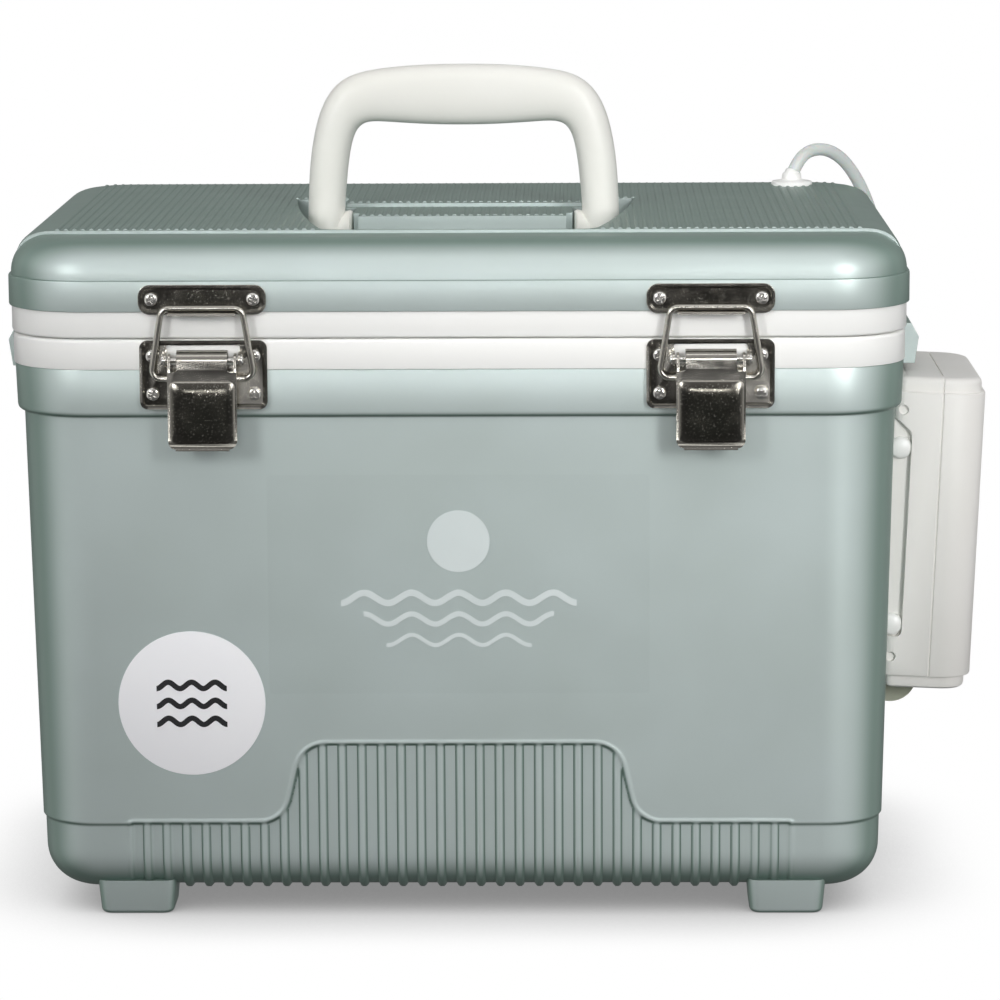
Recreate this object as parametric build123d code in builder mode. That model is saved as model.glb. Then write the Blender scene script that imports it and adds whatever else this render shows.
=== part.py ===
"""Insulated live-bait cooler with a latching lid, folding handle and side-hung air pump.

The origin is the centre of the tub's footprint on the floor, +Z is up, the latches face -Y
and the air pump hangs on the +X side.  All sizes are in millimetres.
"""

import os
from math import cos, radians, sin, tan

from build123d import *

os.makedirs("parts", exist_ok=True)

# ---------------------------------------------------------------- driving dimensions
WIDTH = 360.0
DEPTH = 240.0
CORNER = 34.0
DRAFT = 1.3

FOOT_HEIGHT = 9.5
SKIRT_TOP = 38.8
BAND_BOTTOM = 205.3
RIM_BOTTOM = 224.4
RIM_TOP = 236.5
LID_BOTTOM = 236.9
LID_SHELL_BOTTOM = 247.5
LID_STEP = 259.8
SHOULDER_TOP = 275.5
LID_TOP = 276.7

# How far each level stands in from the lid's outline.
SHOULDER_INSET = 1.1
LID_BAND_INSET = 1.1
RIM_INSET = 1.6
BAND_INSET = 2.1
BODY_INSET = 5.4
CAVITY_INSET = 20.0
BAND_TAPER = 2.0

SHELL_WALL = 4.0
LID_WALL = 2.4
LINER_WALL = 2.2
FIT_GAP = 0.2
BASE_ROUND = 18.0
CAVITY_ROUND = 12.0
INNER_CORNER = 20.0
CAVITY_FLOOR = 30.0

# Skirt: the lowest part of the wall, set in all round, with a sunk panel of ribs at the front.
SKIRT_SET_IN = 1.0
RIB_PANEL_DEPTH = 1.8
RIB_COUNT = 33
RIB_PITCH = 7.9
RIB_WIDTH = 2.9
RIB_PANEL_HALF = 132.2
TAB_HEIGHT = 32.7
TAB_TOP_HALF = 63.0
TAB_BASE_HALF = 70.5
TAB_ROUND = 11.5

FOOT_X = 131.5
FOOT_Y = 92.0
FOOT_WIDTH = 32.0
FOOT_LENGTH = 28.0
FOOT_TAPER = 5.0

LUG_HALF_WIDTH = 25.0
LUG_BOTTOM = 211.3
WEBBING_X = 182.4
WEBBING_SLOT = (2.4, 34.0)

# Lid top
SHOULDER_ROUND = 15.0
TREAD_FRONT = 92.0
TREAD_BACK = 104.0
TREAD_ROUND = 16.0
POCKET_FLOOR = 251.3
POCKET_BACK = 33.0
POCKET_FRONT = -90.0
BLOCK_DROP = 1.5

# Handle
HANDLE_PIVOT_Z = 264.0
HANDLE_THICK = 19.0
HUB_RADIUS = 9.5
HANDLE_PIN_RADIUS = 3.0
RUNNING_GAP = 0.05
PILOT_RADIUS = 1.5 + RUNNING_GAP

# Hinges
HINGE_Y = 122.6
HINGE_Z = 236.7
HINGE_X = 105.0
HINGE_WIDTH = 60.0
BARREL_RADIUS = 3.0
HINGE_PIN_RADIUS = 1.6
SHEET = 1.2

# Latches
LATCH_X = 99.8
PIVOT_Y = -123.5
PIVOT_Z = 229.0
BAIL_PIVOT_DROP = 7.0
BAIL_BAR_Z = 249.4
WIRE = 2.5

# Air line
HOSE = 5.5
PORT = (141.5, 91.0)
STONE_RADIUS = 7.0
STONE_LENGTH = 26.0

# Pump
PUMP_TILT = 2.5
PUMP_BASE = (191.6, 79.4)
PUMP_THICK = 38.0
PUMP_WIDTH = 90.0
PUMP_HEIGHT = 130.4
PUMP_WALL = 1.8
DOOR_HEIGHT = 5.5
CAP_HEIGHT = 6.0
CELL_RADIUS = 16.9
CELL_HEIGHT = 61.5

SIDES = {"left": -1, "right": 1}
SLOPE = tan(radians(DRAFT))


# ---------------------------------------------------------------- shared shapes
def corner_radius(inset):
    """Corner radius of the outline at an inset, never under the inner corner's."""
    return max(CORNER - inset, INNER_CORNER)


def outline_at(inset, height):
    """Rounded rectangle of the cooler's plan at an inset and a height."""
    with BuildSketch(Plane.XY.offset(height)) as outline:
        RectangleRounded(WIDTH - 2 * inset, DEPTH - 2 * inset, corner_radius(inset))
    return outline.sketch


def drafted_block(inset, low, high, base_round=0.0):
    """Block of the cooler's plan that narrows downwards by the draft, its base rounded."""
    with BuildPart() as block:
        extrude(outline_at(inset, high), amount=low - high, taper=DRAFT)
        if base_round:
            fillet(block.faces().sort_by(Axis.Z)[0].edges(), base_round)
    return block.part


def straight_block(inset, low, high, top_round=0.0):
    """Upright block of the cooler's plan, its top edge rounded."""
    with BuildPart() as block:
        extrude(outline_at(inset, low), amount=high - low)
        if top_round:
            fillet(block.faces().sort_by(Axis.Z)[-1].edges(), top_round)
    return block.part


def pan_screw(length, head_radius=2.7, head_height=1.5, shank_radius=1.5):
    """Cross-recessed pan-head screw, its head's seat at the origin and its shank along -Z."""
    with BuildPart() as screw:
        with BuildSketch(Plane.XY) as head:
            Circle(head_radius)
        extrude(head.sketch, amount=head_height)
        fillet(screw.faces().sort_by(Axis.Z)[-1].edges(), head_height * 0.6)
        with BuildSketch(Plane.XY) as shank:
            Circle(shank_radius)
        extrude(shank.sketch, amount=-length)
        with BuildSketch(Plane.XY.offset(head_height)) as recess:
            Rectangle(head_radius * 1.1, head_radius * 0.28)
            Rectangle(head_radius * 0.28, head_radius * 1.1)
        extrude(recess.sketch, amount=-head_height * 0.6, mode=Mode.SUBTRACT)
    return screw.part


def front_plane(x, y, z):
    """Plane that faces -Y at a point, with X to the right and Y up."""
    return Plane(origin=(x, y, z), x_dir=(1, 0, 0), z_dir=(0, -1, 0))


def rear_plane(x, y, z):
    """Plane that faces +Y at a point."""
    return Plane(origin=(x, y, z), x_dir=(-1, 0, 0), z_dir=(0, 1, 0))


def hose_tube(points, diameter, name):
    """Round tube along straight runs joined by tangent arcs, each as large as its runs allow."""
    corners = [Vector(*point) for point in points]
    runs = [after - before for before, after in zip(corners, corners[1:])]
    radii = []
    for run, next_run in zip(runs, runs[1:]):
        turn = radians(run.get_angle(next_run))
        radii.append(0.45 * min(run.length, next_run.length) / tan(turn / 2))
    with BuildPart() as tube:
        with BuildLine() as route:
            FilletPolyline(*corners, radius=radii)
        path = route.wires()[0]
        with BuildSketch(Plane(origin=path @ 0, z_dir=path % 0)) as section:
            Circle(diameter / 2)
        sweep(section.sketch, path=path)
    section_volume = section.sketch.area * path.length
    print(f"{name}: length {path.length:.1f}, least radius {min(radii):.1f},",
          f"volume ratio {tube.part.volume / section_volume:.4f}")
    return tube.part


# ---------------------------------------------------------------- screw places
HINGE_SHEET = 1.5
TUB_LEAF = (211.0, 233.0)
LID_LEAF = (241.0, 261.0)
KEEPER = (246.6, 258.4)
BASE_PLATE = (208.8, 236.2)
SCREW_HALF = 20.0
SCREW_LENGTH = 9.0
KEEPER_SCREW_Z = 252.7
BASE_SCREW_ZS = (230.0, 215.0)
tub_front = -DEPTH / 2 + RIM_INSET
lid_front = -DEPTH / 2
tub_back = DEPTH / 2 - RIM_INSET
lid_back = DEPTH / 2

leaf_screw_xs = [
    hinge * HINGE_X + side * (HINGE_WIDTH / 2 - 9) for hinge in (-1, 1) for side in (-1, 1)
]
tub_leaf_seats = [rear_plane(x, tub_back + HINGE_SHEET, sum(TUB_LEAF) / 2) for x in leaf_screw_xs]
lid_leaf_seats = [rear_plane(x, lid_back + HINGE_SHEET, sum(LID_LEAF) / 2) for x in leaf_screw_xs]
keeper_seats = {
    side: [front_plane(sign * LATCH_X + x, lid_front - SHEET, KEEPER_SCREW_Z)
           for x in (-SCREW_HALF, SCREW_HALF)]
    for side, sign in SIDES.items()
}
base_seats = {
    side: [front_plane(sign * LATCH_X + x, tub_front - SHEET, z)
           for x in (-SCREW_HALF, SCREW_HALF) for z in BASE_SCREW_ZS]
    for side, sign in SIDES.items()
}
tub_screw_seats = tub_leaf_seats + base_seats["left"] + base_seats["right"]
lid_screw_seats = lid_leaf_seats + keeper_seats["left"] + keeper_seats["right"]


def pilot_holes(seats):
    """Bores for screws, from each screw's seat inwards."""
    with BuildPart() as bores:
        for seat in seats:
            with BuildSketch(seat) as bore:
                Circle(PILOT_RADIUS)
            extrude(bore.sketch, amount=-SCREW_LENGTH - 0.5)
    return bores.part


def screw_set(seats):
    """A pan-head screw at each seat."""
    with BuildPart() as screws:
        for seat in seats:
            add(seat * pan_screw(SCREW_LENGTH))
    return screws.part


# ---------------------------------------------------------------- tub
body_half_depth = DEPTH / 2 - BODY_INSET - SLOPE * (BAND_BOTTOM - SKIRT_TOP)
wall_plane = Plane(
    origin=(0, -body_half_depth, SKIRT_TOP),
    x_dir=(1, 0, 0),
    z_dir=(0, -cos(radians(DRAFT)), -sin(radians(DRAFT))),
)

with BuildSketch(wall_plane) as rib_panel:
    with BuildLine():
        Polyline(
            (-RIB_PANEL_HALF, -SKIRT_TOP), (RIB_PANEL_HALF, -SKIRT_TOP), (RIB_PANEL_HALF, 0),
            (TAB_BASE_HALF, 0), (TAB_TOP_HALF, TAB_HEIGHT), (-TAB_TOP_HALF, TAB_HEIGHT),
            (-TAB_BASE_HALF, 0), (-RIB_PANEL_HALF, 0), (-RIB_PANEL_HALF, -SKIRT_TOP),
        )
    make_face()
    fillet([v for v in rib_panel.vertices() if abs(v.X) < TAB_BASE_HALF + 1], TAB_ROUND)

with BuildSketch(wall_plane) as rib_rows:
    with GridLocations(RIB_PITCH, 0, RIB_COUNT, 1):
        Rectangle(RIB_WIDTH, 4 * TAB_HEIGHT)
    add(rib_panel.sketch_local, mode=Mode.INTERSECT)

skirt_body = drafted_block(BODY_INSET + SKIRT_SET_IN, FOOT_HEIGHT, BAND_BOTTOM, BASE_ROUND)
panel_floor = drafted_block(
    BODY_INSET + RIB_PANEL_DEPTH, FOOT_HEIGHT + RIB_PANEL_DEPTH - SKIRT_SET_IN, BAND_BOTTOM,
    BASE_ROUND - 1,
)
with BuildPart() as panel_recess:
    extrude(rib_panel.sketch, amount=-BASE_ROUND - 4)
    add(panel_floor, mode=Mode.SUBTRACT)

with BuildPart() as ribs:
    extrude(rib_rows.sketch, amount=-BASE_ROUND - 4)
    add(drafted_block(BODY_INSET, FOOT_HEIGHT - 1, BAND_BOTTOM, BASE_ROUND), mode=Mode.INTERSECT)

shell_hollow_inset = BODY_INSET + SHELL_WALL - SLOPE * (RIM_BOTTOM - BAND_BOTTOM)
shell_hollow = drafted_block(shell_hollow_inset, FOOT_HEIGHT + 3, RIM_BOTTOM, BASE_ROUND - 2)

with BuildPart() as shell_form:
    extrude(outline_at(BODY_INSET, BAND_BOTTOM), amount=SKIRT_TOP - BAND_BOTTOM, taper=DRAFT)
    add(skirt_body)
    add(panel_recess.part, mode=Mode.SUBTRACT)
    add(ribs.part)
    extrude(outline_at(BAND_INSET, RIM_BOTTOM), amount=BAND_BOTTOM - RIM_BOTTOM, taper=BAND_TAPER)
    band_ledge = faces().filter_by(Plane.XY).filter_by_position(
        Axis.Z, BAND_BOTTOM - 0.1, BAND_BOTTOM + 0.1
    )
    fillet(band_ledge[0].outer_wire().edges(), 2.2)
    # Four feet
    with BuildSketch(Plane.XY.offset(FOOT_HEIGHT + 4)):
        with GridLocations(2 * FOOT_X, 2 * FOOT_Y, 2, 2):
            RectangleRounded(FOOT_WIDTH, FOOT_LENGTH, 5)
    extrude(amount=-FOOT_HEIGHT - 4, taper=FOOT_TAPER)
    fillet(faces().filter_by(Plane.XY).filter_by_position(Axis.Z, -0.1, 0.1).edges(), 2)

with BuildPart() as tub_outer_shell:
    add(shell_form.part)
    add(shell_hollow, mode=Mode.SUBTRACT)
    add(pilot_holes(tub_screw_seats), mode=Mode.SUBTRACT)
tub_outer_shell.part.label = "tub_outer_shell"
export_step(tub_outer_shell.part, "parts/tub_outer_shell.step")

# Strap lugs on both sides, each with a slot for webbing
with BuildPart() as strap_lugs:
    with BuildSketch(Plane.XZ) as lug_profile:
        with BuildLine():
            Polyline(
                (174.0, LUG_BOTTOM), (187.0, LUG_BOTTOM), (188.8, 224.6), (185.6, 230.4),
                (182.6, 230.4), (178.9, 226.6), (178.9, RIM_BOTTOM), (174.0, RIM_BOTTOM),
                (174.0, LUG_BOTTOM),
            )
        make_face()
        mirror(about=Plane.YZ)
    extrude(amount=LUG_HALF_WIDTH, both=True)
    with BuildSketch(Plane.XY.offset(200)):
        with GridLocations(2 * WEBBING_X, 0, 2, 1):
            Rectangle(*WEBBING_SLOT)
    extrude(amount=40, mode=Mode.SUBTRACT)
    add(shell_form.part, mode=Mode.SUBTRACT)
strap_lugs.part.label = "strap_lugs"
export_step(strap_lugs.part, "parts/strap_lugs.step")

liner_outer = drafted_block(
    CAVITY_INSET - LINER_WALL, CAVITY_FLOOR - LINER_WALL, RIM_TOP, CAVITY_ROUND + LINER_WALL
)
cavity = drafted_block(CAVITY_INSET, CAVITY_FLOOR, RIM_TOP, CAVITY_ROUND)

with BuildPart() as tub_liner:
    add(straight_block(RIM_INSET, RIM_BOTTOM, RIM_TOP, 1.5))
    rim_channel = straight_block(RIM_INSET + LID_WALL, RIM_BOTTOM, RIM_TOP - LID_WALL)
    add(rim_channel, mode=Mode.SUBTRACT)
    add(liner_outer)
    add(cavity, mode=Mode.SUBTRACT)
    add(pilot_holes(tub_screw_seats), mode=Mode.SUBTRACT)
tub_liner.part.label = "tub_liner"
export_step(tub_liner.part, "parts/tub_liner.step")

with BuildPart() as tub_foam:
    add(drafted_block(shell_hollow_inset + FIT_GAP, FOOT_HEIGHT + 3 + FIT_GAP, RIM_BOTTOM,
                      BASE_ROUND - 2))
    add(straight_block(RIM_INSET + LID_WALL + FIT_GAP, RIM_BOTTOM, RIM_TOP - LID_WALL - FIT_GAP))
    add(drafted_block(CAVITY_INSET - LINER_WALL - FIT_GAP, CAVITY_FLOOR - LINER_WALL - FIT_GAP,
                      RIM_TOP, CAVITY_ROUND + LINER_WALL), mode=Mode.SUBTRACT)
    add(pilot_holes(tub_screw_seats), mode=Mode.SUBTRACT)
tub_foam.part.label = "tub_foam"
export_step(tub_foam.part, "parts/tub_foam.step")

# Labels lie on the drafted front wall.
LABEL_THICK = 0.3
with BuildPart() as film_label:
    with BuildSketch(wall_plane):
        with Locations((0, 98.4)):
            RectangleRounded(152, 89, 2)
    extrude(amount=LABEL_THICK)
film_label.part.label = "film_label"
export_step(film_label.part, "parts/film_label.step")

with BuildPart() as round_label:
    with BuildSketch(wall_plane):
        with Locations((-107.2, 50.0)):
            Circle(29.5)
    extrude(amount=LABEL_THICK)
round_label.part.label = "round_label"
export_step(round_label.part, "parts/round_label.step")

# ---------------------------------------------------------------- lid
BLOCK_END = 45.5
BLOCK_NOSE = 43.0
PANEL_END = 49.5
with BuildSketch(Plane.XY.offset(POCKET_FLOOR)) as pocket:
    with BuildLine():
        right_side = ThreePointArc((71.5, POCKET_BACK), (66.8, -20), (54.5, POCKET_FRONT))
        front_edge = Line(right_side @ 1, (-54.5, POCKET_FRONT))
        left_side = ThreePointArc(front_edge @ 1, (-66.8, -20), (-71.5, POCKET_BACK))
        Polyline(
            left_side @ 1, (-PANEL_END, POCKET_BACK), (-PANEL_END, 12), (-BLOCK_END, 12),
            (-BLOCK_END, -12), (-BLOCK_NOSE, -12), (-BLOCK_NOSE, -24), (BLOCK_NOSE, -24),
            (BLOCK_NOSE, -12), (BLOCK_END, -12), (BLOCK_END, 12), (PANEL_END, 12),
            (PANEL_END, POCKET_BACK), right_side @ 0,
        )
    make_face()
    fillet(pocket.vertices().filter_by_position(Axis.Y, POCKET_FRONT - 1, POCKET_FRONT + 1), 8)

with BuildSketch(Plane.XY.offset(POCKET_FLOOR - LINER_WALL)) as pocket_wall:
    add(pocket.sketch_local)
    offset(amount=LINER_WALL)

with BuildPart() as tread:
    with BuildSketch(Plane.XZ.offset(TREAD_FRONT)) as tread_profile:
        with Locations((0, (LID_STEP + LID_TOP) / 2)):
            Rectangle(WIDTH, LID_TOP - LID_STEP)
        fillet(tread_profile.vertices().group_by(Axis.Y)[-1], TREAD_ROUND)
    extrude(amount=-TREAD_FRONT - TREAD_BACK)
    extrude(outline_at(0, LID_STEP), amount=2 * CORNER, mode=Mode.INTERSECT)

hollow_inset = SHOULDER_INSET + LID_WALL
with BuildPart() as lid_hollow:
    add(straight_block(hollow_inset, LID_SHELL_BOTTOM, SHOULDER_TOP - LID_WALL, 12.6))
    extrude(pocket_wall.sketch, amount=CORNER, mode=Mode.SUBTRACT)

with BuildPart() as lid_shell:
    add(straight_block(0, LID_SHELL_BOTTOM, LID_STEP, 0.8))
    add(straight_block(SHOULDER_INSET, LID_STEP, SHOULDER_TOP, SHOULDER_ROUND))
    add(tread.part)
    extrude(pocket.sketch, amount=CORNER, mode=Mode.SUBTRACT)
    with Locations((0, -4.5, LID_TOP)):
        Box(2 * PANEL_END, 39, 2 * BLOCK_DROP, mode=Mode.SUBTRACT)
    add(lid_hollow.part, mode=Mode.SUBTRACT)
    with Locations(Location((0, 0, HANDLE_PIVOT_Z), (0, 90, 0))):
        Cylinder(HANDLE_PIN_RADIUS, 2 * BLOCK_END + 1, mode=Mode.SUBTRACT)
    with Locations((*PORT, LID_TOP)):
        Cylinder(4.1, 2 * CORNER, mode=Mode.SUBTRACT)
    add(pilot_holes(lid_screw_seats), mode=Mode.SUBTRACT)
lid_shell.part.label = "lid_shell"
export_step(lid_shell.part, "parts/lid_shell.step")

PLUG_BOTTOM = LID_BOTTOM - 5
PLUG_INSET = CAVITY_INSET + 1.5
SEAL_OUTER = 9.0
SEAL_INNER = 13.0
with BuildPart() as lid_liner:
    add(straight_block(LID_BAND_INSET, LID_BOTTOM, LID_SHELL_BOTTOM))
    add(straight_block(hollow_inset, LID_BOTTOM + LID_WALL, LID_SHELL_BOTTOM), mode=Mode.SUBTRACT)
    add(straight_block(PLUG_INSET, PLUG_BOTTOM, LID_BOTTOM + LID_WALL))
    add(straight_block(PLUG_INSET + LINER_WALL, PLUG_BOTTOM + LINER_WALL, LID_SHELL_BOTTOM),
        mode=Mode.SUBTRACT)
    extrude(outline_at(SEAL_OUTER, LID_BOTTOM), amount=1.2, mode=Mode.SUBTRACT)
    extrude(outline_at(SEAL_INNER, LID_BOTTOM), amount=1.2)
    add(straight_block(PLUG_INSET + LINER_WALL, PLUG_BOTTOM + LINER_WALL, LID_SHELL_BOTTOM),
        mode=Mode.SUBTRACT)
    with Locations((*PORT, LID_BOTTOM)):
        Cylinder(4.1, 2 * CORNER, mode=Mode.SUBTRACT)
lid_liner.part.label = "lid_liner"
export_step(lid_liner.part, "parts/lid_liner.step")

with BuildPart() as lid_gasket:
    add(straight_block(SEAL_OUTER + 0.1, LID_BOTTOM - 0.3, LID_BOTTOM + 1.1))
    add(straight_block(SEAL_INNER - 0.1, LID_BOTTOM - 0.3, LID_BOTTOM + 1.1), mode=Mode.SUBTRACT)
lid_gasket.part.label = "lid_gasket"
export_step(lid_gasket.part, "parts/lid_gasket.step")

with BuildPart() as lid_foam:
    add(straight_block(hollow_inset + FIT_GAP, LID_BOTTOM + LID_WALL + FIT_GAP,
                       SHOULDER_TOP - LID_WALL - FIT_GAP, 12.4))
    add(straight_block(PLUG_INSET + LINER_WALL + FIT_GAP, PLUG_BOTTOM + LINER_WALL + FIT_GAP,
                       LID_BOTTOM + LID_WALL + 1))
    with BuildSketch(Plane.XY.offset(POCKET_FLOOR - LINER_WALL - FIT_GAP)) as foam_relief:
        add(pocket_wall.sketch_local)
        offset(amount=FIT_GAP)
    extrude(foam_relief.sketch, amount=CORNER, mode=Mode.SUBTRACT)
    with Locations(Location((0, 0, HANDLE_PIVOT_Z), (0, 90, 0))):
        Cylinder(HANDLE_PIN_RADIUS + FIT_GAP, 2 * BLOCK_END, mode=Mode.SUBTRACT)
    with Locations((*PORT, LID_BOTTOM)):
        Cylinder(4.3, 4 * CORNER, mode=Mode.SUBTRACT)
    add(pilot_holes(lid_screw_seats), mode=Mode.SUBTRACT)
lid_foam.part.label = "lid_foam"
export_step(lid_foam.part, "parts/lid_foam.step")

# ---------------------------------------------------------------- handle
LEG_INNER = PANEL_END
LEG_OUTER = 65.4
LEG_FOOT = HANDLE_PIVOT_Z - HUB_RADIUS
with BuildPart() as handle:
    with BuildSketch(Plane.XZ) as handle_outline:
        with BuildLine():
            outer_leg = Line((LEG_OUTER, LEG_FOOT), (64.6, 290))
            outer_bend = Spline(
                outer_leg @ 1, (62.0, 309), (55.5, 326), (42.0, 333.6), (0, 336.6),
                tangents=[outer_leg % 1, (-1, 0)],
            )
            centre_cut = Line(outer_bend @ 1, (0, 310.6))
            inner_grip = Spline(
                centre_cut @ 1, (26, 311.6), (38.5, 312.6), (44.5, 309.0), (47.6, 297),
                (LEG_INNER, 276), tangents=[(1, 0), (0.05, -1)],
            )
            inner_leg = Line(inner_grip @ 1, (LEG_INNER, LEG_FOOT))
            Line(inner_leg @ 1, outer_leg @ 0)
        make_face()
        mirror(about=Plane.YZ)
    extrude(amount=HANDLE_THICK / 2, both=True)
    side_faces = handle.faces().sort_by(Axis.Y)
    fillet(side_faces[0].edges() + side_faces[-1].edges(), 4.5)
    # Round the legs' lower ends about the pivot
    with BuildSketch(Plane.YZ.offset(-WIDTH / 2)) as hub_profile:
        with Locations((0, HANDLE_PIVOT_Z)):
            Circle(HUB_RADIUS)
        with Locations((0, HANDLE_PIVOT_Z + 40)):
            Rectangle(HANDLE_THICK, 80)
    extrude(amount=WIDTH, mode=Mode.INTERSECT)
    # Hubs that reach in to the lid's block
    with Locations(
        Location((LEG_INNER, 0, HANDLE_PIVOT_Z), (0, 90, 0)),
        Location((-LEG_INNER, 0, HANDLE_PIVOT_Z), (0, 90, 0)),
    ):
        Cylinder(8.5, 2 * (LEG_INNER - BLOCK_END - 0.5))
    with Locations(Location((0, 0, HANDLE_PIVOT_Z), (0, 90, 0))):
        Cylinder(HANDLE_PIN_RADIUS + RUNNING_GAP, 2 * 62.2, mode=Mode.SUBTRACT)
handle.part.label = "handle"
export_step(handle.part, "parts/handle.step")

with BuildPart() as handle_pins:
    with Locations(
        Location((51.5, 0, HANDLE_PIVOT_Z), (0, 90, 0)),
        Location((-51.5, 0, HANDLE_PIVOT_Z), (0, 90, 0)),
    ):
        Cylinder(HANDLE_PIN_RADIUS, 21)
handle_pins.part.label = "handle_pins"
export_step(handle_pins.part, "parts/handle_pins.step")

# ---------------------------------------------------------------- hinges
KNUCKLE = 15.0
hinge_centres = (-HINGE_X, HINGE_X)


def hinge_leaf(x_low, x_high, back, seat_low, seat_high, knuckles):
    """Hinge leaf: a plate on a back wall and knuckles rolled round the hinge line."""
    with BuildPart() as leaf:
        with BuildSketch(rear_plane((x_low + x_high) / 2, back, (seat_low + seat_high) / 2)) as seat:
            RectangleRounded(x_high - x_low, seat_high - seat_low, 3)
        extrude(seat.sketch, amount=HINGE_SHEET)
        near = seat_high if seat_high < HINGE_Z else seat_low
        inner = near + (-4 if seat_high < HINGE_Z else 4)
        for start, stop in knuckles:
            with BuildSketch(Plane.YZ.offset(start)) as knuckle:
                with Locations((HINGE_Y, HINGE_Z)):
                    Circle(BARREL_RADIUS)
                with BuildLine() as arm:
                    Polyline(
                        (back, inner), (back + HINGE_SHEET, inner - (near - inner) * 0.2),
                        (HINGE_Y + BARREL_RADIUS * 0.8, (near + HINGE_Z) / 2 - (HINGE_Z - near) * 0.1),
                        (HINGE_Y, HINGE_Z), (HINGE_Y - BARREL_RADIUS * 0.9, HINGE_Z),
                        (back, near), (back, inner),
                    )
                make_face(arm.line)
            extrude(knuckle.sketch, amount=stop - start)
        with Locations(Location(((x_low + x_high) / 2, HINGE_Y, HINGE_Z), (0, 90, 0))):
            Cylinder(HINGE_PIN_RADIUS + RUNNING_GAP, x_high - x_low + 2, mode=Mode.SUBTRACT)
        for hole_x in (x_low + 9, x_high - 9):
            with Locations(Location((hole_x, back, (seat_low + seat_high) / 2), (90, 0, 0))):
                Cylinder(1.7, 3 * HINGE_SHEET, mode=Mode.SUBTRACT)
    return leaf.part


with BuildPart() as hinge_tub_leaves:
    for centre in hinge_centres:
        low, high = centre - HINGE_WIDTH / 2, centre + HINGE_WIDTH / 2
        add(hinge_leaf(low, high, tub_back, *TUB_LEAF, ((low, low + KNUCKLE), (high - KNUCKLE, high))))
hinge_tub_leaves.part.label = "hinge_tub_leaves"
export_step(hinge_tub_leaves.part, "parts/hinge_tub_leaves.step")

with BuildPart() as hinge_lid_leaves:
    for centre in hinge_centres:
        low, high = centre - HINGE_WIDTH / 2, centre + HINGE_WIDTH / 2
        middle = ((low + KNUCKLE + 0.6, high - KNUCKLE - 0.6),)
        add(hinge_leaf(low, high, lid_back, *LID_LEAF, middle))
hinge_lid_leaves.part.label = "hinge_lid_leaves"
export_step(hinge_lid_leaves.part, "parts/hinge_lid_leaves.step")

with BuildPart() as hinge_pins:
    with Locations(*[Location((x, HINGE_Y, HINGE_Z), (0, 90, 0)) for x in hinge_centres]):
        Cylinder(HINGE_PIN_RADIUS, HINGE_WIDTH + 1)
        with Locations((0, 0, HINGE_WIDTH / 2 + 0.9), (0, 0, -HINGE_WIDTH / 2 - 0.9)):
            Cylinder(2.4, 1.2)
hinge_pins.part.label = "hinge_pins"
export_step(hinge_pins.part, "parts/hinge_pins.step")

with BuildPart() as hinge_tub_screws:
    add(screw_set(tub_leaf_seats))
hinge_tub_screws.part.label = "hinge_tub_screws"
export_step(hinge_tub_screws.part, "parts/hinge_tub_screws.step")

with BuildPart() as hinge_lid_screws:
    add(screw_set(lid_leaf_seats))
hinge_lid_screws.part.label = "hinge_lid_screws"
export_step(hinge_lid_screws.part, "parts/hinge_lid_screws.step")

# ---------------------------------------------------------------- latches
PLATE_HALF = 25.2
LEVER_HALF = 13.5
ROLL_HALF = 10.0
EAR_INNER = 14.1
EAR_OUTER = 15.1
BAR_HALF = 15.8
LEG_SPLAY = 19.8
BAIL_PIVOT_Z = PIVOT_Z - BAIL_PIVOT_DROP
LEDGE_HALF = 13.2
keeper_mid = sum(KEEPER) / 2
keeper_height = KEEPER[1] - KEEPER[0]
keeper_holes = [(x, KEEPER_SCREW_Z - keeper_mid) for x in (-SCREW_HALF, SCREW_HALF)]
base_mid = sum(BASE_PLATE) / 2
base_height = BASE_PLATE[1] - BASE_PLATE[0]
base_holes = [(x, z - base_mid) for x in (-SCREW_HALF, SCREW_HALF) for z in BASE_SCREW_ZS]

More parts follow.
